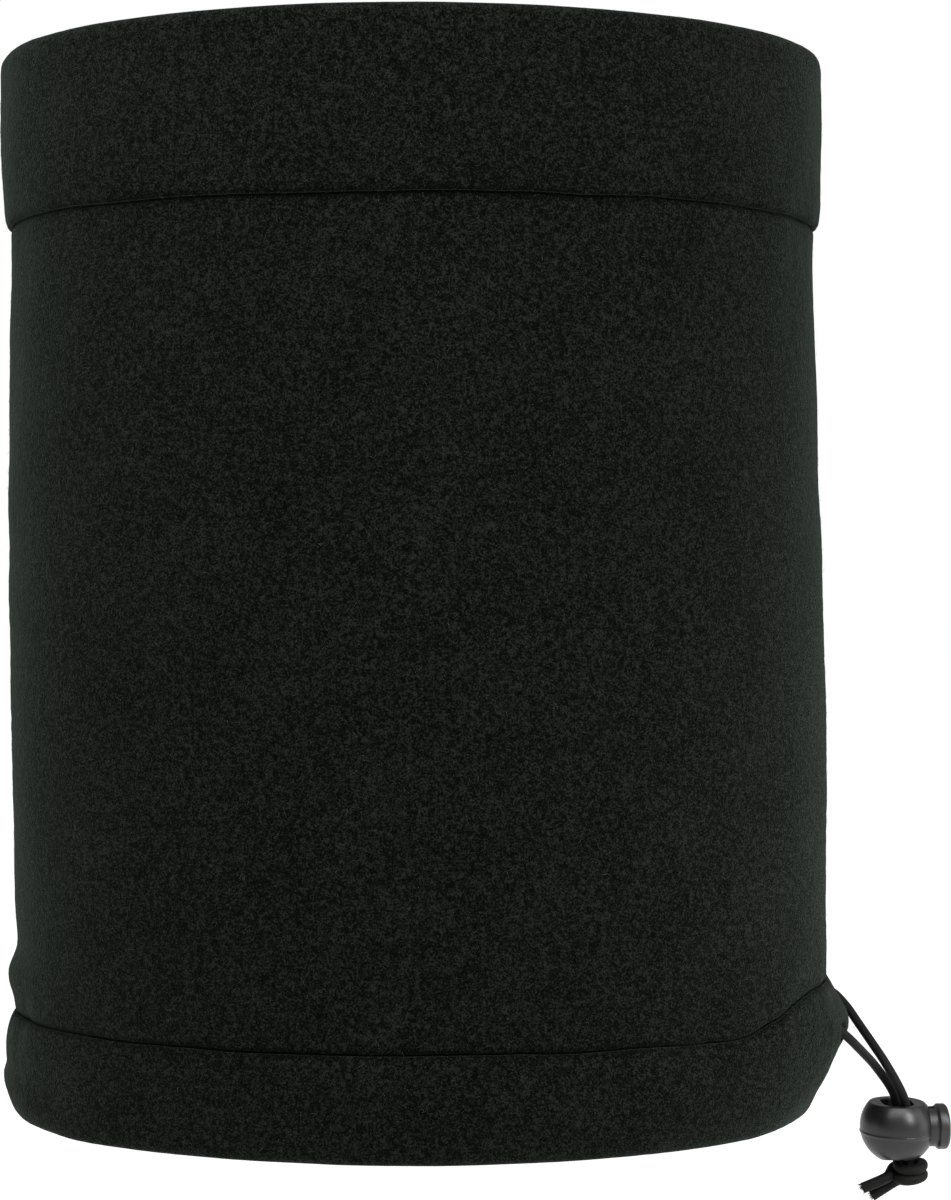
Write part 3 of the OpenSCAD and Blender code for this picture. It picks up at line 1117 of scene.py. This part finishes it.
@dataclass
class Drawcord:
    """The elastic cord: hidden in the casing, out through two exits, through the lock and knotted."""

    shape: TubeShape
    lead_radius: float = 1.1 * MM
    slack_radius: float = 1.3 * MM
    knot_radius: float = 1.2 * MM
    strand_gap: float = 0.02 * MM
    strand_changes: tuple[float, ...] = (0.0, 0.3, 0.36, 0.72, 0.82, 1.0)
    rest_height: float = 9 * MM
    leave_height: float = 17.4 * MM
    leave_angle: float = 30.0
    climb_angle: float = 30.0
    channel: float = -1.1 * MM
    carriers: int = 8
    sides: int = 48
    hidden_sides: int = 20
    point_spacing: float = 0.2 * MM
    hidden_spacing: float = 1.2 * MM
    lead_softening: int = 60
    knot_softening: int = 34
    ridge_depth: float = 0.055
    frayed_fibres: int = 42
    fray_radius: float = 0.045 * MM
    fray_reach: tuple[float, float] = (0.55 * MM, 1.15 * MM)

    def __post_init__(self) -> None:
        """Sets out the routes from the cord side's bottom corner."""
        self.corner = np.array([self.shape.half_width, 0.0, self.shape.bottom])
        self.front_exit = self.corner + MM * np.array([1.6, -19, 20.7])
        self.rear_exit = self.corner + MM * np.array([1.6, 19.6, 25.9])
        self.front_path = self.corner + MM * np.array(
            [
                [0.8, -14, 22.3], [4.9, -12.8, 19.3], [7.2, -12, 17.2], [10.7, -7.4, 13.6],
                [13.7, -2.9, 10.5], [16, 0.5, 7.8], [18, 2, 5.2], [19.6, 2.3, 2.9],
                [20.6, 1.9, 0.8], [20.9, 1.5, -1.8], [20.9, 1.4, -6], [20.9, 1.4, -10.5],
            ]
        )
        self.rear_path = self.corner + MM * np.array(
            [
                [-0.2, 21.1, 26.3], [1.6, 19.6, 25.9], [4.5, 17.2, 25.3], [8.1, 14.4, 23.9],
                [10.7, 11.4, 20.9], [12.9, 8, 17.3], [15.1, 4.2, 13.8], [17.4, 0.8, 10.1],
                [19.6, -1, 6.2], [21.5, -1.5, 2.5], [22.7, -1.4, -0.8], [23.1, -1.4, -4],
                [23.1, -1.4, -9],
            ]
        )
        self.knot = self.corner + MM * np.array([23, 0, -16.85])
        self.front_strand = self.knot + MM * np.array(
            [
                [-2.1, 1.4, 15.3], [-2.1, 1.4, 9], [-2.1, 1.4, 4.2], [-2.1, 0.9, 2.5],
                [-2.6, -1, 1.3], [-1.6, -3, 0.9], [0.9, -3.8, 0.9], [3.3, -2.4, 1.4],
                [4.1, 0.4, 1.8], [2.5, 3, 1.5], [-0.4, 3.6, 0.9], [-2.9, 2.4, 0.4],
                [-3.8, 0.3, -0.3], [-4.6, -1.2, -1.1], [-7, -1.6, -2.1], [-11.1, -1.6, -3.8],
            ]
        )
        self.rear_strand = self.knot + MM * np.array(
            [
                [0.1, -1.4, 15.3], [0.1, -1.4, 9], [0.1, -1.4, 4.2], [0.3, -0.9, 2.4],
                [0.9, 0.3, 1.0], [0.2, 0.9, -0.3], [-1.7, 0.2, -1.1], [-2.9, -1.5, -1.5],
                [-1.5, -3.4, -1.6], [0.9, -3.9, -1.3], [3.3, -2.5, -0.8], [4.1, 0.3, -0.5],
                [2.7, 2.7, -1.0], [1.1, 2.3, -1.6], [0.3, 0.6, -1.9], [-0.7, -0.3, -1.9],
                [-2.1, 0.5, -2.2], [-4.4, 1.2, -3.9], [-8.3, 1.2, -6.4],
            ]
        )

    def casing_point(self, angle: Array, height: Array) -> Array:
        """A point of the cord's channel at an oval angle in degrees and a height.

        Args:
            angle: Angles.
            height: Heights, one for each angle.

        Returns:
            The points.
        """
        point, normal = self.shape.outline(self.shape.share_at(np.radians(angle)))
        out = self.channel + self.shape.swell(height)
        x = point[:, 0] + normal[:, 0] * out + self.shape.lean(height)
        return np.stack([x, point[:, 1] + normal[:, 1] * out, height], axis=-1)

    def casing_route(self) -> Array:
        """The hidden cord's path: round the channel, climbing to the two exits."""
        angle = np.linspace(self.leave_angle, 360.0 - self.leave_angle, 160)
        near = np.minimum(angle, 360.0 - angle)
        climb = smooth(1.0 - (near - self.leave_angle) / self.climb_angle)
        height = self.shape.bottom + self.rest_height + (self.leave_height - self.rest_height) * climb
        return np.concatenate([self.rear_path[:1], self.casing_point(angle, height), self.front_path[:1]])

    def exit_lines(self) -> list[tuple[Array, Array]]:
        """Where each cord leaves the casing, and the direction of its hole."""
        paths = (self.front_path, self.rear_path)
        return [(path[1], unit(path[1] - path[0])) for path in paths]

    def braid(self, rings: int, sides: int, step: float, radius: float) -> Array:
        """Height of the braid's crossing ridges, from 0 to 1, shaped (rings, sides).

        Two families of ridges wind opposite ways: cos^2 of half (carriers * angle +- travel), where
        travel makes the ridges cross at right angles. The higher of the two shows, and they take
        turns to lie on top.

        Args:
            rings: Number of rings.
            sides: Points in a ring.
            step: Distance between rings.
            radius: The cord's radius.

        Returns:
            The height at each point.
        """
        angle = np.arange(sides)[None] * 2.0 * np.pi / sides
        travel = np.arange(rings)[:, None] * step / radius * self.carriers
        left = np.cos(0.5 * (self.carriers * angle + travel)) ** 2
        right = np.cos(0.5 * (self.carriers * angle - travel)) ** 2
        turn = 0.5 + 0.5 * np.sin(0.5 * self.carriers * angle) * np.sin(0.5 * travel)
        return np.maximum(left * (0.72 + 0.28 * turn), right * (1.0 - 0.28 * turn))

    def strand(
        self, name: str, path: Array, radii: Array, finish: Material, sides: int
    ) -> bpy.types.Object:
        """Makes one stretch of braided cord along a path, with `sides` points in a ring.

        Args:
            name: The piece's name.
            path: Its middle line.
            radii: Radius at each point of the path.
            finish: The cord's material.
            sides: Points in a ring.

        Returns:
            The piece, riding on nothing yet.
        """
        height = self.braid(len(path), sides, path_length(path) / (len(path) - 1), float(np.mean(radii)))
        relief = self.ridge_depth * (height - 1.0)
        points, faces = tubes(path[None], radii, sides, np.array([0.31, 0.12, 0.94]), relief)
        piece = new_piece(name, points, faces, finish)
        # The braid's height, which the cord's colour turns into a painted highlight on the ridges and painted
        # shade in the valleys.
        set_point_value(piece, "ridge", np.concatenate([height.ravel(), [0.3, 0.3]]))
        return piece

    def build_lead(
        self, side: str, route: Array, finish: Material
    ) -> None:
        """Args:
            side: "front" or "rear".
            route: The lead's listed points.
            finish: The cord's material.
        """
        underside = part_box("lock_body")[0].z
        end = np.array([route[-1][0], route[-1][1], underside + 0.1 * MM])
        path = flowing_path(np.vstack([route, end]), self.point_spacing, self.lead_softening)
        radii = np.full(len(path), self.lead_radius)
        lead = self.strand(f"{side}_lead_cord", path, radii, finish, self.sides)
        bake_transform(lead)
        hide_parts(f"{side}_lead")
        LOG.info("%s: %.1f mm long", lead.name, path_length(path) / MM)

    def build_strand(self, side: str, points: Array, finish: Material) -> bpy.types.Object:
        """Makes one knotted strand, from inside the lock through the knot to its cut tail.

        Args:
            side: "front" or "rear".
            points: The strand's listed points.
            finish: The cord's material.

        Returns:
            The piece.
        """
        path = flowing_path(points, self.point_spacing, self.knot_softening)
        travel = np.linspace(0.0, 1.0, len(path))
        inside = self.lead_radius - self.strand_gap
        stages = np.repeat([inside, self.knot_radius, self.slack_radius], 2)
        radii = np.interp(travel, self.strand_changes, stages)
        piece = self.strand(f"{side}_knotted_cord", path, radii, finish, self.sides)
        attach(piece, Body.GAITER.value)
        return piece

    def fray(self, finish: Material) -> None:
        """Grows short fibres from the two cut ends, splaying out as t^2 along their length.

        Args:
            finish: The cord's material.
        """
        rng = np.random.default_rng(61)
        paths = []
        for points in (self.front_strand, self.rear_strand):
            along = unit(points[-1] - points[-2])
            spread = rng.normal(size=(self.frayed_fibres, 3))
            spread = spread - np.sum(spread * along, axis=1, keepdims=True) * along
            spread = unit(spread) * np.sqrt(rng.random((self.frayed_fibres, 1)))
            root = points[-1] - 0.3 * MM * along + 0.88 * self.slack_radius * spread
            reach = rng.uniform(*self.fray_reach, (self.frayed_fibres, 1))
            t = np.linspace(0.0, 1.0, 4)[None, :, None]
            ahead, aside = (reach * along)[:, None], (0.6 * reach * spread)[:, None]
            paths.append(root[:, None] + t * ahead + t * t * aside)
        radii = self.fray_radius * np.array([1.0, 1.0, 0.8, 0.3])
        shape = tubes(np.concatenate(paths), radii, 4, np.array([0.3, 0.1, 0.9]))
        piece = new_piece("frayed_cord_ends", shape[0], shape[1], finish)
        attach(piece, Body.GAITER.value)

    def build(self, finishes: Finishes) -> None:
        """Makes the leads, the knotted strands, their frayed ends and the hidden cord.

        Args:
            finishes: The object's materials.
        """
        front = self.build_strand("front", self.front_strand, finishes.cord)
        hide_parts("front_tail", "cord_knot")
        rear = self.build_strand("rear", self.rear_strand, finishes.cord)
        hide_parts("rear_tail")
        self.build_lead("front", self.front_path, finishes.cord)
        self.build_lead("rear", self.rear_path, finishes.cord)
        self.fray(finishes.cord)
        path = flowing_path(self.casing_route(), self.hidden_spacing, 6)
        ends = np.minimum(np.arange(len(path)), np.arange(len(path))[::-1])
        radii = np.interp(ends, [0, 12], [self.lead_radius, self.slack_radius])
        hidden = self.strand("hidden_casing_cord", path, radii, finishes.cord, self.hidden_sides)
        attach(hidden, Body.GAITER.value)
        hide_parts("casing_cord")
        LOG.info("drawcord: hidden stretch %.0f mm", path_length(path) / MM)


# ---------------------------------------------------------------- sewing


@dataclass
class Sewing:
    """The thread of the two round seams, the back join and the bartacks beside the exits."""

    shape: TubeShape
    count: int = 120
    stitch: float = 2.9 * MM
    radius: float = 0.3 * MM
    sink: float = -1.08 * MM
    back_pitch: float = 6 * MM
    wraps: int = 13
    bar_height: float = 5 * MM
    bar_width: float = 1.5 * MM
    bar_reach: float = 8 * MM
    bar_offset: float = 1.78 * MM
    bar_thread: float = 0.23 * MM
    bar_slant: float = 0.16
    join_wall: float = 2.45 * MM
    join_inset: float = 5.2 * MM

    def stitches(self, middle: Array, along: Array, outward: Array, length: float, radius: float) -> Shape:
        """Short bars of thread whose two ends dive into the cloth.

        A point at q from -1 to 1 is the middle + q * length / 2 along, lowered by q^4 * radius * 2;
        its radius is radius * sqrt(1 - q^8), so the ends are round.

        Args:
            middle: Middles, shaped (stitches, 3).
            along: Unit directions.
            outward: Unit directions away from the cloth.
            length: Length of a stitch.
            radius: Radius of the thread.

        Returns:
            Vertices and faces.
        """
        q = np.linspace(-1.0, 1.0, 7)
        lowered = -2.0 * radius * q**4
        paths = middle[:, None] + 0.5 * length * q[None, :, None] * along[:, None]
        paths = paths + lowered[None, :, None] * outward[:, None]
        radii = radius * np.sqrt(np.maximum(1.0 - q**8, 0.04))
        return tubes(paths, radii, 6, outward)

    def add(self, name: str, shape: Shape, finish: Material, node: str) -> None:
        """Makes a piece of thread that stands for a CAD node and rides on the gaiter.

        Args:
            name: The piece's name.
            shape: Its vertices and faces.
            finish: The thread.
            node: The CAD node.
        """
        piece = new_piece(name, shape[0], shape[1], finish)
        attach(piece, Body.GAITER.value)
        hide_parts(node)
        LOG.info("%s: %d faces", name, len(piece.data.polygons))

    def round_seam(self, level: float) -> Shape:
        """Stitches all round a seam, sunk in its groove.

        Args:
            level: The seam's height.

        Returns:
            Vertices and faces.
        """
        share = (np.arange(self.count) + 0.5) / self.count
        reach = 0.5 * MM / self.shape.girth
        offset, height = np.array([[self.sink]]), np.array([[level]])
        at = [self.shape.place(share + d, offset, height)[0] for d in (-reach, 0.0, reach)]
        normal = self.shape.outline(share)[1]
        outward = np.stack([normal[:, 0], normal[:, 1], np.zeros(len(share))], axis=1)
        return self.stitches(at[1], unit(at[2] - at[0]), outward, self.stitch, self.radius)

    def back_join(self) -> Shape:
        """Upright stitches on both faces of the turned-in edges."""
        low, high = self.shape.casing_seam + 2 * self.back_pitch, self.shape.top_seam - 2 * self.back_pitch
        z = np.arange(low, high, self.back_pitch)
        y = np.full(len(z), self.shape.half_depth - self.join_inset)
        walls = [self.shape.lean(z) + side * self.join_wall for side in (-1, 1)]
        middle = np.concatenate([np.stack([x, y, z], axis=1) for x in walls])
        outward = np.repeat(np.array([[-1.0, 0.0, 0.0], [1.0, 0.0, 0.0]]), len(z), axis=0)
        up = np.broadcast_to([0.0, 0.0, 1.0], middle.shape)
        return self.stitches(middle, up, outward, 0.75 * self.back_pitch, self.radius)

    def bartacks(self, exit_point: Array) -> Shape:
        """Two upright bars beside an exit, each of crosswise wraps that slant to and fro.

        Args:
            exit_point: Where the cord leaves the cloth.

        Returns:
            Vertices and faces.
        """
        middles, alongs, outwards = [], [], []
        for side in (-1.0, 1.0):
            y = exit_point[1] + side * self.bar_reach
            share = np.linspace(-0.12, 0.12, 2401)
            outline, normals = self.shape.outline(share)
            k = int(np.argmin(np.abs(outline[:, 1] + 2.4 * MM * normals[:, 1] - y)))
            z = exit_point[2] + np.linspace(-0.5, 0.5, self.wraps) * self.bar_height
            fallen = z - self.shape.lift(outline[k, :1], z)
            offset = np.full((self.wraps, 1), self.bar_offset)
            surface = self.shape.place(share[k : k + 1], offset, fallen[:, None])[:, 0]
            outward = np.array([normals[k, 0], normals[k, 1], 0.0])
            across = np.cross([0.0, 0.0, 1.0], outward)
            slant = self.bar_slant * np.where(np.arange(self.wraps) % 2, 1.0, -1.0)
            middles.append(surface)
            alongs.append(unit(across[None] + slant[:, None] * np.array([[0.0, 0.0, 1.0]])))
            outwards.append(np.broadcast_to(outward, surface.shape))
        parts = [np.concatenate(block) for block in (middles, alongs, outwards)]
        return self.stitches(*parts, self.bar_width, self.bar_thread)

    def build(self, cord: Drawcord, finishes: Finishes) -> None:
        """Makes every row of thread.

        Args:
            cord: The drawcord, whose exits the bars stand beside.
            finishes: The object's materials.
        """
        rows = (
            ("top_seam_thread", self.round_seam(self.shape.top_seam), "top_seam_stitching"),
            ("casing_seam_thread", self.round_seam(self.shape.casing_seam), "casing_seam_stitching"),
            ("back_join_thread", self.back_join(), "back_seam_stitching"),
            ("front_exit_bars", self.bartacks(cord.front_path[1]), "front_exit_bartacks"),
            ("rear_exit_bars", self.bartacks(cord.rear_path[1]), "rear_exit_bartacks"),
        )
        for name, shape, node in rows:
            self.add(name, shape, finishes.thread, node)


# ---------------------------------------------------------------- cloth


@dataclass
class Pile:
    """Single fibres that stand out of the fleece, as thin closed slivers."""

    name: str
    count: int
    seed: int
    length: tuple[float, float] = (0.7 * MM, 2.2 * MM)
    stand: tuple[float, float] = (0.12, 0.75)
    curl: tuple[float, float] = (-0.6, 0.6)
    root_depth: float = 0.08 * MM
    radius: float = 0.022 * MM

    def build(self, points: Array, rows: Array, finish: Material) -> None:
        """Grows fibres at random places of a ring's outer face.

        A fibre is a three-sided tube along root + t * lean + t^2 * curl, thin towards its tip.

        Args:
            points: The ring's points (rows, columns, 3).
            rows: The rows' (offset, height).
            finish: The fibres' material.
        """
        rng = np.random.default_rng(self.seed)
        outer = np.flatnonzero(rows[:, 0] > -0.25 * MM)
        columns = points.shape[1]
        span = np.linalg.norm(points[(outer + 1) % len(rows), 0] - points[outer, 0], axis=1)
        i = rng.choice(outer, self.count, p=span / span.sum())
        widths = np.linalg.norm(np.roll(points[outer[0]], -1, axis=0) - points[outer[0]], axis=1)
        j = rng.choice(columns, self.count, p=widths / widths.sum())
        a, b = rng.random((2, self.count, 1))
        above, beside = (i + 1) % len(rows), (j + 1) % columns
        here, right, over = points[i, j], points[i, beside], points[above, j]
        root = here + a * (right - here) + b * (over - here)
        along, up = unit(right - here), unit(over - here)
        outward = unit(np.cross(along, up))
        heading = rng.uniform(0.0, 2.0 * np.pi, (self.count, 1))
        lie = np.cos(heading) * along + np.sin(heading) * up
        turned = np.cos(heading + 1.4) * along + np.sin(heading + 1.4) * up
        length = rng.uniform(*self.length, (self.count, 1)) * rng.uniform(0.5, 1.0, (self.count, 1))
        stand = rng.uniform(*self.stand, (self.count, 1))
        curl = rng.uniform(*self.curl, (self.count, 1))
        t = np.array([0.0, 0.4, 0.75, 1.0])[None, :, None]
        first = (lie + stand * outward)[:, None] * length[:, None]
        second = (curl * turned - 0.55 * stand * outward)[:, None] * length[:, None]
        paths = root[:, None] - self.root_depth * outward[:, None] + t * first + t * t * second
        radii = self.radius * np.array([1.0, 0.9, 0.6, 0.15])
        shape = tubes(paths, radii, 3, outward)
        piece = new_piece(self.name, shape[0], shape[1], finish)
        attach(piece, Body.GAITER.value)
        LOG.info("%s: %d fibres", self.name, self.count)


@dataclass
class Cloth:
    """The tube's three pieces of fleece and their loose fibres."""

    shape: TubeShape
    cord: Drawcord
    groove: float = -0.95 * MM
    band_out: float = 1.7 * MM
    band_in: float = -4.6 * MM
    casing_out: float = 1.95 * MM
    casing_in: float = -4.9 * MM
    seam_gap: float = 0.24 * MM
    inner_face: float = -2.2 * MM
    body_flat: float = 0.197
    band_flat: float = 0.088
    casing_flat: float = 0.058
    body_spacing: float = 1.28 * MM
    spacing: float = 1.2 * MM

    def body(self) -> BodyCloth:
        """The single-layer tube, its top and bottom edges held in the band and the casing."""
        low, high = self.shape.casing_seam, self.shape.top_seam
        groove, gap, under, face = self.groove, self.seam_gap, self.groove - 1.3 * MM, self.inner_face
        corners = [
            (groove, low - 3.4 * MM, 1.6 * MM),
            (groove, low + gap, 0.35 * MM),
            (0.0, low + gap, 0.35 * MM),
            (0.0, low + 4.2 * MM, 0.7 * MM),
            (0.0, low + 12 * MM, 1.2 * MM),
            (0.0, high - 12 * MM, 1.2 * MM),
            (0.0, high - 4.2 * MM, 0.7 * MM),
            (0.0, high - gap, 0.35 * MM),
            (groove, high - gap, 0.35 * MM),
            (groove, high + 5.4 * MM, 1.6 * MM),
            (under, high + 5.4 * MM, 1.6 * MM),
            (under, high - 0.5 * MM, 1.6 * MM),
            (face, high - 4 * MM, 2.5 * MM),
            (face, high - 14 * MM, 7 * MM),
            (face, low + 14 * MM, 7 * MM),
            (face, low + 4 * MM, 2.5 * MM),
            (under, low + 0.5 * MM, 1.6 * MM),
            (under, low - 3.4 * MM, 1.6 * MM),
        ]
        zones = [(self.shape.back_share, 3.6 * MM, 0.32 * MM)]
        return BodyCloth(self.shape, "body_fleece", "body_panel", corners, self.body_spacing, zones)

    def band(self) -> ClothRing:
        """The doubled top band: outer leaf, rounded top fold, inner leaf, and a pocket below."""
        seam, top = self.shape.top_seam, self.shape.top + 0.6 * MM
        out, inn, groove, gap = self.band_out, self.band_in, self.groove, self.seam_gap
        corners = [
            (groove, seam + gap, 0.35 * MM),
            (out - 0.7 * MM, seam + gap, 0.35 * MM),
            (out - 0.1 * MM, seam + 4.6 * MM, 0.7 * MM),
            (out + 0.35 * MM, seam + 17 * MM, 1.2 * MM),
            (out, top - 8 * MM, 0.9 * MM),
            (out, top - 0.1 * MM, 0.6 * MM),
            (inn, top - 0.1 * MM, 0.6 * MM),
            (inn, top - 8 * MM, 1.2 * MM),
            (inn - 0.2 * MM, seam + 15 * MM, 2.4 * MM),
            (inn, seam + 4 * MM, 1.2 * MM),
            (inn, seam + gap, 0.6 * MM),
            (groove - 1.4 * MM, seam + gap, 0.7 * MM),
            (groove - 1.4 * MM, seam + 5.6 * MM, 1.5 * MM),
            (-1.6 * MM, seam + 8 * MM, 2.4 * MM),
            (-1.6 * MM, top - 2.6 * MM, 2.4 * MM),
            (-1.3 * MM, top - 2.6 * MM, 2.4 * MM),
            (-1.3 * MM, seam + 8 * MM, 2.4 * MM),
            (groove + 0.1 * MM, seam + 5.6 * MM, 1.5 * MM),
        ]
        zones = [(self.shape.back_share, 3 * MM, 0.45 * MM)]
        return ClothRing(self.shape, "top_band_fleece", "top_band", corners, self.spacing, zones)

    def casing(self) -> CasingCloth:
        """The folded casing: outer leaf, bottom fold, inner leaf, and the tunnel between them."""
        seam, low = self.shape.casing_seam, self.shape.bottom
        out, inn, groove, gap = self.casing_out, self.casing_in, self.groove, self.seam_gap
        corners = [
            (inn, low, 0.7 * MM),
            (out - 0.8 * MM, low, 0.6 * MM),
            (out + 0.1 * MM, low + 14 * MM, 0.6 * MM),
            (out, seam - 5 * MM, 0.55 * MM),
            (out - 1.0 * MM, seam - gap, 0.35 * MM),
            (groove, seam - gap, 0.35 * MM),
            (groove, seam - 4.6 * MM, 1.5 * MM),
            (0.2 * MM, seam - 6.4 * MM, 1.8 * MM),
            (0.2 * MM, low + 4.4 * MM, 1.8 * MM),
            (-2.7 * MM, low + 4.4 * MM, 1.8 * MM),
            (-2.7 * MM, seam - 6.4 * MM, 1.8 * MM),
            (groove - 1.4 * MM, seam - 4.6 * MM, 1.5 * MM),
            (groove - 1.4 * MM, seam - gap, 0.7 * MM),
            (inn, seam - gap, 0.6 * MM),
            (inn, seam - 5 * MM, 1.2 * MM),
            (inn, low + 7 * MM, 1.0 * MM),
        ]
        zones = [(self.shape.back_share, 3 * MM, 0.45 * MM), (0.0, 30 * MM, 0.55 * MM)]
        exits = self.cord.exit_lines()
        return CasingCloth(
            self.shape, "casing_fleece", "bottom_casing", corners, self.spacing, zones, exits=exits
        )

    def build(self, finishes: Finishes) -> None:
        """Args:
            finishes: The object's materials.
        """
        body, body_rows, body_points = self.body().build(finishes.fleece)
        band, band_rows, band_points = self.band().build(finishes.fleece)
        casing, casing_rows, casing_points = self.casing().build(finishes.fleece)
        Pile("body_loose_fibres", 7600, 71).build(body_points, body_rows, finishes.fibre)
        Pile("band_loose_fibres", 2100, 72).build(band_points, band_rows, finishes.fibre)
        Pile("casing_loose_fibres", 1500, 73).build(casing_points, casing_rows, finishes.fibre)


# ---------------------------------------------------------------- cord lock


@dataclass
class CordLock:
    """The ball cord lock: a moulded ball, its sprung plunger and the spring between them."""

    body_voxel: float = 0.17 * MM
    plunger_voxel: float = 0.15 * MM
    rounding: int = 9
    wear_depth: float = 0.05 * MM
    wire: float = 0.25 * MM
    coil: float = 2.6 * MM
    turns: float = 4.0
    closed_turns: float = 1.5
    steps: int = 220
    squeeze: float = 0.65

    def moulded(self, node: str, name: str, voxel: float, finish: Material) -> bpy.types.Object:
        """Copies a CAD node's shape with the softly rounded edges of a moulding.

        The copy is welded, remeshed in voxels and relaxed. How far a vertex moves as it relaxes
        tells how near an edge it is, and that becomes its wear.

        Args:
            node: The CAD node.
            name: The new piece's name.
            voxel: Size of the mesh's squares.
            finish: The plastic.

        Returns:
            The piece, riding on nothing yet.
        """
        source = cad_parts[node]
        draft = bpy.data.objects.new(name + "_draft", source.data.copy())
        bpy.context.scene.collection.objects.link(draft)
        weld = draft.modifiers.new("weld", "WELD")
        weld.merge_threshold = 0.002 * MM
        remesh = draft.modifiers.new("remesh", "REMESH")
        remesh.mode = "VOXEL"
        remesh.voxel_size = voxel
        sharp = self.evaluated(draft, name + "_sharp")
        relax = draft.modifiers.new("relax", "SMOOTH")
        relax.factor, relax.iterations = 0.5, self.rounding
        soft = self.evaluated(draft, name)
        bpy.data.objects.remove(draft)
        before, after = self.places(sharp), self.places(soft)
        bpy.data.meshes.remove(sharp)
        soft.materials.clear()
        soft.materials.append(finish)
        soft.polygons.foreach_set("use_smooth", np.ones(len(soft.polygons), bool))
        piece = bpy.data.objects.new(name, soft)
        bpy.context.scene.collection.objects.link(piece)
        wear = smooth(np.linalg.norm(after - before, axis=1) / self.wear_depth - 0.5)
        set_point_value(piece, "wear", wear)
        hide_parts(node)
        LOG.info("%s: %d faces", name, len(soft.polygons))
        return piece

    @staticmethod
    def evaluated(draft: bpy.types.Object, name: str) -> bpy.types.Mesh:
        """A mesh of an object as its modifiers leave it.

        Args:
            draft: The object.
            name: The mesh's name.

        Returns:
            The mesh.
        """
        graph = bpy.context.evaluated_depsgraph_get()
        graph.update()
        mesh = bpy.data.meshes.new_from_object(draft.evaluated_get(graph))
        mesh.name = name
        return mesh

    @staticmethod
    def places(mesh: bpy.types.Mesh) -> Array:
        """A mesh's vertex places."""
        flat = np.empty(3 * len(mesh.vertices), np.float32)
        mesh.vertices.foreach_get("co", flat)
        return flat.reshape(-1, 3).astype(float)

    def spring(self, finish: Material) -> None:
        """Winds the spring: closed coils at both ends and open ones between, round the x axis.

        Args:
            finish: The steel.
        """
        low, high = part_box("lock_spring")
        middle = 0.5 * (low + high)
        t = np.linspace(0.0, 1.0, self.steps)
        turn = 2.0 * np.pi * (self.turns + self.closed_turns) * t
        open_part = (t - 0.1) / 0.8
        travel = smooth(open_part) * 0.35 + np.clip(open_part, 0.0, 1.0) * 0.65
        length = high.x - low.x - 2.0 * self.wire
        x = low.x + self.wire + length * travel
        path = np.stack([x, middle.y + self.coil * np.cos(turn), middle.z + self.coil * np.sin(turn)], axis=1)
        points, faces = tubes(path[None], np.full(len(t), self.wire), 10, np.array([1.0, 0.0, 0.0]))
        piece = new_piece("coiled_spring", points, faces, finish)
        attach(piece, Body.LOCK.value)
        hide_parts("lock_spring")
        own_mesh(piece)
        LOG.info("coiled_spring: %d faces", len(piece.data.polygons))

    def build(self, finishes: Finishes) -> None:
        """Makes the ball, the plunger and the spring.

        Args:
            finishes: The object's materials.
        """
        ball = self.moulded("lock_body", "lock_ball", self.body_voxel, finishes.lock)
        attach(ball, Body.LOCK.value)
        plunger = self.moulded("lock_plunger", "lock_button", self.plunger_voxel, finishes.plunger)
        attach(plunger, Body.PLUNGER.value)
        self.spring(finishes.steel)


def main() -> None:
    """Builds the studio, then each sub-assembly in order."""
    logging.basicConfig(level=logging.INFO, format="%(name)s %(message)s")
    finishes = Finishes()
    studio = Studio()
    studio.build_camera()
    shape = TubeShape()
    cord = Drawcord(shape)
    cord.build(finishes)
    Cloth(shape, cord).build(finishes)
    Sewing(shape).build(cord, finishes)
    CordLock().build(finishes)
    studio.build_floor()
    studio.build_lights()


if __name__ == "__main__":
    main()
